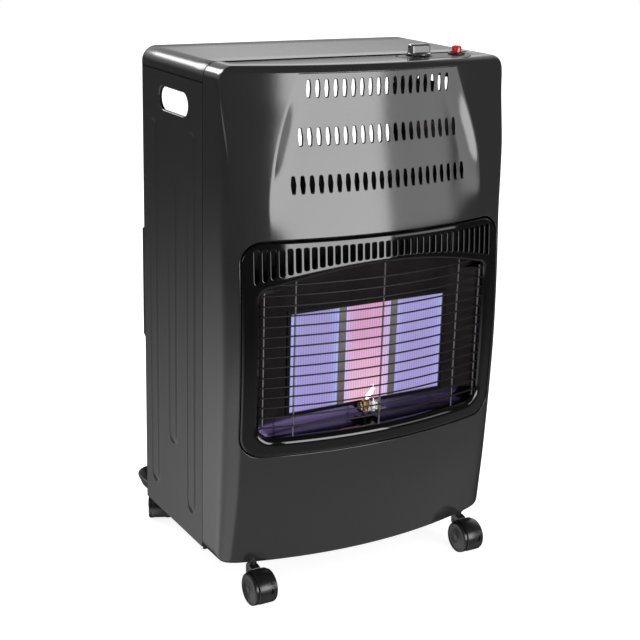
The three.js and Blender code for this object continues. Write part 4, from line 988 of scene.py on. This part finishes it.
piece("left_burner_pipe", tube(pipe_route(), PIPE.radius, 14), shaded_pipe,
      ["burner_pipe_left"])


# ---- Controls ----

def control_plate_shape():
    """The plate's rounded edge and flat face."""
    return carried([lying(plate_outline(-2 * inset), HEIGHT + rise) for inset, rise in (
        (0.0, -1.2), (0.0, -0.3), (0.25, 0.05), (0.7, PLATE.rise))],
        close_start=True, close_end=True)


def circle_cut(x, y, radius):
    """A round hole through the top."""
    turn = np.linspace(0, 2 * np.pi, 48, endpoint=False)
    return prism(joined(x + radius * np.cos(turn), y + radius * np.sin(turn)), "z", HEIGHT - 20,
                 HEIGHT + 20)


def on_top(profile, place, sides=48):
    """A profile of [radius, height above the top] turned round an upright axis."""
    return turned([[radius, HEIGHT + rise] for radius, rise in profile],
                  (place.x, place.y, 0), sides)


# A near-black ring under the gap round the control plate: painted shade in the groove.
piece("plate_groove_shade", prism(plate_outline(3.4), "z", HEIGHT - 2.6, HEIGHT - 0.3), gap_shade_black,
      cuts=[prism(plate_outline(-1), "z", HEIGHT - 9, HEIGHT + 9)])
well = on_top([
    [WELL_RADIUS + 1.4, 0.2], [WELL_RADIUS + 0.5, 0.5], [WELL_RADIUS, -0.2],
    [WELL_RADIUS - 0.3, 0.8 - WELL_DEPTH], [WELL_RADIUS - 1.2, -WELL_DEPTH], [5.6, -WELL_DEPTH],
    [5.6, -WELL_DEPTH - 1.2], [WELL_RADIUS + 1.2, -WELL_DEPTH - 1.2], [WELL_RADIUS + 1.2, -1],
    [WELL_RADIUS + 1.4, 0.2]], KNOB, 64)
piece("control_plate_face", control_plate_shape(), moulded_black,
      ["control_plate"], cuts=[circle_cut(KNOB.x, KNOB.y, WELL_RADIUS + 0.6),
                               circle_cut(BUTTON.x, BUTTON.y, 8.8)])
piece("knob_well", well, moulded_black)


def knob_shape():
    """A round skirt, and on it a thick finger bar: its rounded outline rises, leans in from the
    front and the back, and closes over a gently domed top."""
    skirt = on_top([[0, 1], [14.6, 1], [15.5, 1.9], [15.5, 3.6], [14.6, 4.6], [9, 5.4],
                    [0, 5.4]], KNOB, 64)
    rows = []
    for rise, long, thick in ((4.4, 1.0, 1.0), (6, 1.0, 0.985), (10, 0.99, 0.94),
                              (13.2, 0.985, 0.905), (13.7, 0.98, 0.895), (14.6, 0.965, 0.86),
                              (15.3, 0.93, 0.79), (15.7, 0.87, 0.69), (15.8, 0.5, 0.35)):
        half, deep = KNOB.length / 2 * long, KNOB.thick / 2 * thick
        outline = frame_outline(half, -deep, deep, deep, 3.4 * thick, 3.4 * thick)
        rows.append(lying(outline + [KNOB.x, KNOB.y], HEIGHT + rise))
    return together(skirt, carried(rows, close_start=True, close_end=True))


piece("knob_cap", knob_shape(), knob_gloss, ["control_knob"], "knob", crease=50)
piece("button_cap", on_top([
    [0, -10], [6.2, -10], [6.2, 0], [6.4, 1], [6.4, 9.2], [6.0, 10.6], [5.0, 11.4], [3.0, 11.7],
    [0, 11.8]], BUTTON), red_plastic, ["piezo_button"], "button")
piece("button_ring", on_top([
    [8.9, 0.5], [11.1, 0.5], [11.1, 2.2], [10.4, 3.2], [9.4, 3.5], [8.9, 3.0], [8.9, 0.5]],
    BUTTON), moulded_black, ["igniter_nut"])


# ---- Pilot flame ----

pilot_low, pilot_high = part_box("pilot_burner")
flame_foot = [(pilot_low.x + pilot_high.x) / 2 / MM + 1.5,
              (pilot_low.y + pilot_high.y) / 2 / MM - SEAM_Y - 0.5, pilot_high.z / MM]
flame_points, flame_faces = turned([
    [0, -1], [1.6, -0.6], [2.8, 2], [3.4, 5], [3.2, 8], [2.2, 12], [1.0, 16], [0, 19]], sides=28)
lean = [1, 0, 0] * (9 * smooth(flame_points[:, 2:] / 15))
piece("pilot_flame", (flame_points + lean + flame_foot, flame_faces),
      flame_light("pilot_flame_light", (0.85, 0.92, 1.0), 4.0))


# ---- Casters ----

def at_caster(shape, corner):
    """Turns a shape modelled with its stem on the z axis to one corner's place and heading."""
    x, y, heading = CASTERS[corner]
    angle = math.radians(heading)
    spin = np.array([[math.cos(angle), -math.sin(angle), 0],
                     [math.sin(angle), math.cos(angle), 0], [0, 0, 1]])
    points, faces = shape
    return points @ spin.T + [x, y, 0], faces


def hood_shape():
    """The caster's hood: a thin arc over both wheels with rounded edges, carried round the axle
    from the stem's side to low on the trailing side, closed at both ends, plus the web between
    the wheels, the neck and the stem's collar. The arc comes first, and the rest after it."""
    half = WHEEL_INNER - 0.4
    turn = np.linspace(np.radians(-112), np.radians(127), 56)
    outer = np.array([22.9, 23.2, 23.7, 24.0, 24.0, 24.0, 23.7, 23.2, 22.9, 22.7, 22.7])
    across = np.array([-11.8, -11.8, -11.4, -10.6, 0, 10.6, 11.4, 11.8, 11.8, 11.2, -11.2])
    y = -TRAIL - outer * np.sin(turn[:, None])
    z = WHEEL_RADIUS + outer * np.cos(turn[:, None])
    arc = carried(joined(across, y, z), close_start=True, close_end=True)
    web = turned([[0, -half], [22.6, -half], [22.8, -half + 0.3], [22.8, half - 0.3],
                  [22.6, half], [0, half]], (0, -TRAIL, WHEEL_RADIUS), 64, "x")
    points, faces = web
    web = joined(*points[:, :2].T, np.maximum(points[:, 2], 5.2)), faces
    neck_side = np.array([(-14, 41), (-12, 34), (2, 32), (5.4, 33.5), (5.4, 44), (3.4, 46.2),
                          (-6, 46.0), (-12, 44.5)], float)
    neck = prism(neck_side, "x", -half + 0.6, half - 0.6)
    collar = turned([[0, 31], [5.9, 31], [6.3, 31.5], [6.3, 40.5], [5.9, 41.2], [6.3, 42],
                     [6.3, 48.8], [5.6, 49.8], [4.5, 50.2], [0, 50.2]], (0, 0, 0), 32)
    return arc, together(web, neck, collar)


def hood_slits():
    """Two cuts through the hood on its trailing side, right of the middle: a slit that follows
    the arc at one height, and a small upright window below it."""
    slit = prism(np.array([(-48, 33.6), (-34, 33.6), (-34, 36.2), (-48, 36.2)], float), "x",
                 1.2, 13.0)
    window = prism(np.array([(-52, 21.5), (-44, 21.5), (-44, 28.6), (-52, 28.6)], float), "x",
                   3.8, 8.2)
    return together(slit, window)


def wheel_shape(side):
    """One wheel: crowned tread, rounded shoulders, and a side face with a rim ring round a
    shallow dish and a hub."""
    inner, outer = WHEEL_INNER + 0.1, WHEEL_INNER + WHEEL_WIDTH
    profile = [[0, inner], [20.5, inner], [21.6, inner + 0.5], [22, inner + 1.8],
               [22, outer - 2.6], [21.6, outer - 1.2], [20.6, outer - 0.4], [19.2, outer],
               [18.6, outer - 0.1], [18.1, outer - 0.9], [17.0, outer - 1.0], [12, outer - 0.2],
               [6.6, outer + 0.6], [6.0, outer + 0.1], [5.2, outer + 0.1], [4.6, outer + 0.9],
               [0, outer + 1.0]]
    points, faces = turned([[r, x] for r, x in profile], (0, 0, 0), 64, "x")
    return points * [side, 1, 1] + [0, -TRAIL, WHEEL_RADIUS], faces


for corner in CASTERS:
    arc, fork = hood_shape()
    piece(f"caster_hood_{corner}", at_caster(arc, corner), caster_black,
          [f"caster_housing_{corner}"], f"caster_{corner}",
          cuts=[at_caster(hood_slits(), corner)])
    piece(f"caster_fork_{corner}", at_caster(fork, corner), caster_black,
          body=f"caster_{corner}")
    for letter, side in (("a", -1), ("b", 1)):
        piece(f"caster_tyre_{letter}_{corner}", at_caster(wheel_shape(side), corner),
              caster_black, [f"caster_wheel_{letter}_{corner}"],
              f"caster_{corner}_wheel_{letter}")


# ---- Room, light and camera ----

floor_mesh = bpy.data.meshes.new("floor")
floor_mesh.from_pydata([(-6, -6, -0.0005), (6, -6, -0.0005), (6, 6, -0.0005), (-6, 6, -0.0005)],
                       [], [(0, 1, 2, 3)])
floor = new_object("floor", floor_mesh)
pale_floor = finish("pale_floor", (0.5, 0.5, 0.5), 0.9, mottle=0.005)
floor_shader = pale_floor.node_tree.nodes["Principled BSDF"]
floor_shader.inputs["Emission Color"].default_value = (1, 1, 1, 1)
floor_shader.inputs["Emission Strength"].default_value = 0.8
floor_mesh.materials.append(pale_floor)
floor.visible_glossy = False

world = bpy.data.worlds.new("studio")
bpy.context.scene.world = world
room = Wiring(world)
heading = room.parts(room.add("TexCoord", output="Generated"))


def wall(strength):
    """An even white studio wall of one strength."""
    return room.add("Background", {"Color": (1, 1, 1, 1), "Strength": strength})


def toward(axis, start, end):
    """0 to 1 as a direction's component goes from start to end."""
    return room.add("MapRange", {"Value": heading[axis], "From Min": start, "From Max": end},
                    "Result", interpolation_type="SMOOTHSTEP")


# What the gloss sees: a dim room, a bright wall behind and above that is brighter at the right,
# and a pale floor that is brighter at the left.
wall_right = room.maths("ADD", 0.4, room.maths("MULTIPLY", toward("X", 0.34, 0.43), 0.6))
glow = room.chain(
    "ADD", 0.05,
    room.chain("MULTIPLY", toward("Z", 0.02, 0.24), toward("Y", -0.3, 0.3),
               toward("Z", 0.8, 0.5), wall_right, 1.45),
    room.maths("MULTIPLY", toward("Z", -0.19, -0.43), toward("X", -0.32, -0.405)),
    room.chain("MULTIPLY", toward("Z", -0.2, -0.6), toward("Y", 0.2, -0.4), 0.35))
ray = room.add("LightPath").node.outputs
lit_room = room.add("MixShader", {"Fac": ray["Is Glossy Ray"], 1: wall(1.1), 2: wall(glow)})
seen = room.add("MixShader", {"Fac": ray["Is Camera Ray"], 1: lit_room, 2: wall(1.0)})
room.feed(room.nodes["World Output"], {"Surface": seen})

# Each softbox: its name, place, the point it faces, its width and height, and its watts.
for name, place, target, size, power in (
        ("front_softbox", (0.52, -2.0, 0.56), (-0.02, -0.1, 0.56), (1.2, 0.95), 27),
        ("front_strip", (1.5, -1.62, 0.66), (0.05, -0.1, 0.6), (0.84, 0.6), 3.6),
        ("left_softbox", (-2.0, -0.95, 0.9), (-0.2, -0.1, 0.68), (0.8, 0.5), 2.2),
        ("rear_softbox", (-0.9, 2.1, 1.9), (0, 0, 0.6), (1.0, 0.8), 25),
        ("overhead", (0.2, 0.3, 2.6), (0, 0, 0.4), (1.6, 1.6), 9)):
    lamp = bpy.data.lights.new(name, "AREA")
    lamp.shape, (lamp.size, lamp.size_y), lamp.energy = "RECTANGLE", size, power
    softbox = new_object(name, lamp)
    softbox.location = place
    softbox.rotation_euler = (Vector(target) - Vector(place)).to_track_quat("-Z", "Y").to_euler()
    softbox.visible_glossy = name != "overhead"

# The camera stands where the photograph was taken from, worked out from the cabinet's corners.
CAMERA_PLACE = (-931.7, -1516.1, 904.7)
AZIMUTH, PITCH, ROLL = math.radians(-30.6), math.radians(17.5), math.radians(1.6)
FOCAL_PIXELS, PHOTO_PIXELS, SENSOR = 1371, 640, 36
back = Vector((math.sin(AZIMUTH) * math.cos(PITCH), -math.cos(AZIMUTH) * math.cos(PITCH),
               math.sin(PITCH)))
level = (-back).cross(Vector((0, 0, 1))).normalized()
up = level.cross(-back)
right = math.cos(ROLL) * level + math.sin(ROLL) * up
up = -math.sin(ROLL) * level + math.cos(ROLL) * up
camera_data = bpy.data.cameras.new("camera")
camera_data.sensor_width = SENSOR
camera_data.lens = FOCAL_PIXELS / PHOTO_PIXELS * SENSOR
camera = new_object("camera", camera_data)
turned_to = Matrix((right, up, back)).transposed().to_4x4()
turned_to.translation = Vector(to_frame(CAMERA_PLACE))
camera.matrix_world = turned_to
bpy.context.scene.camera = camera
bpy.context.scene.view_settings.view_transform = "Standard"
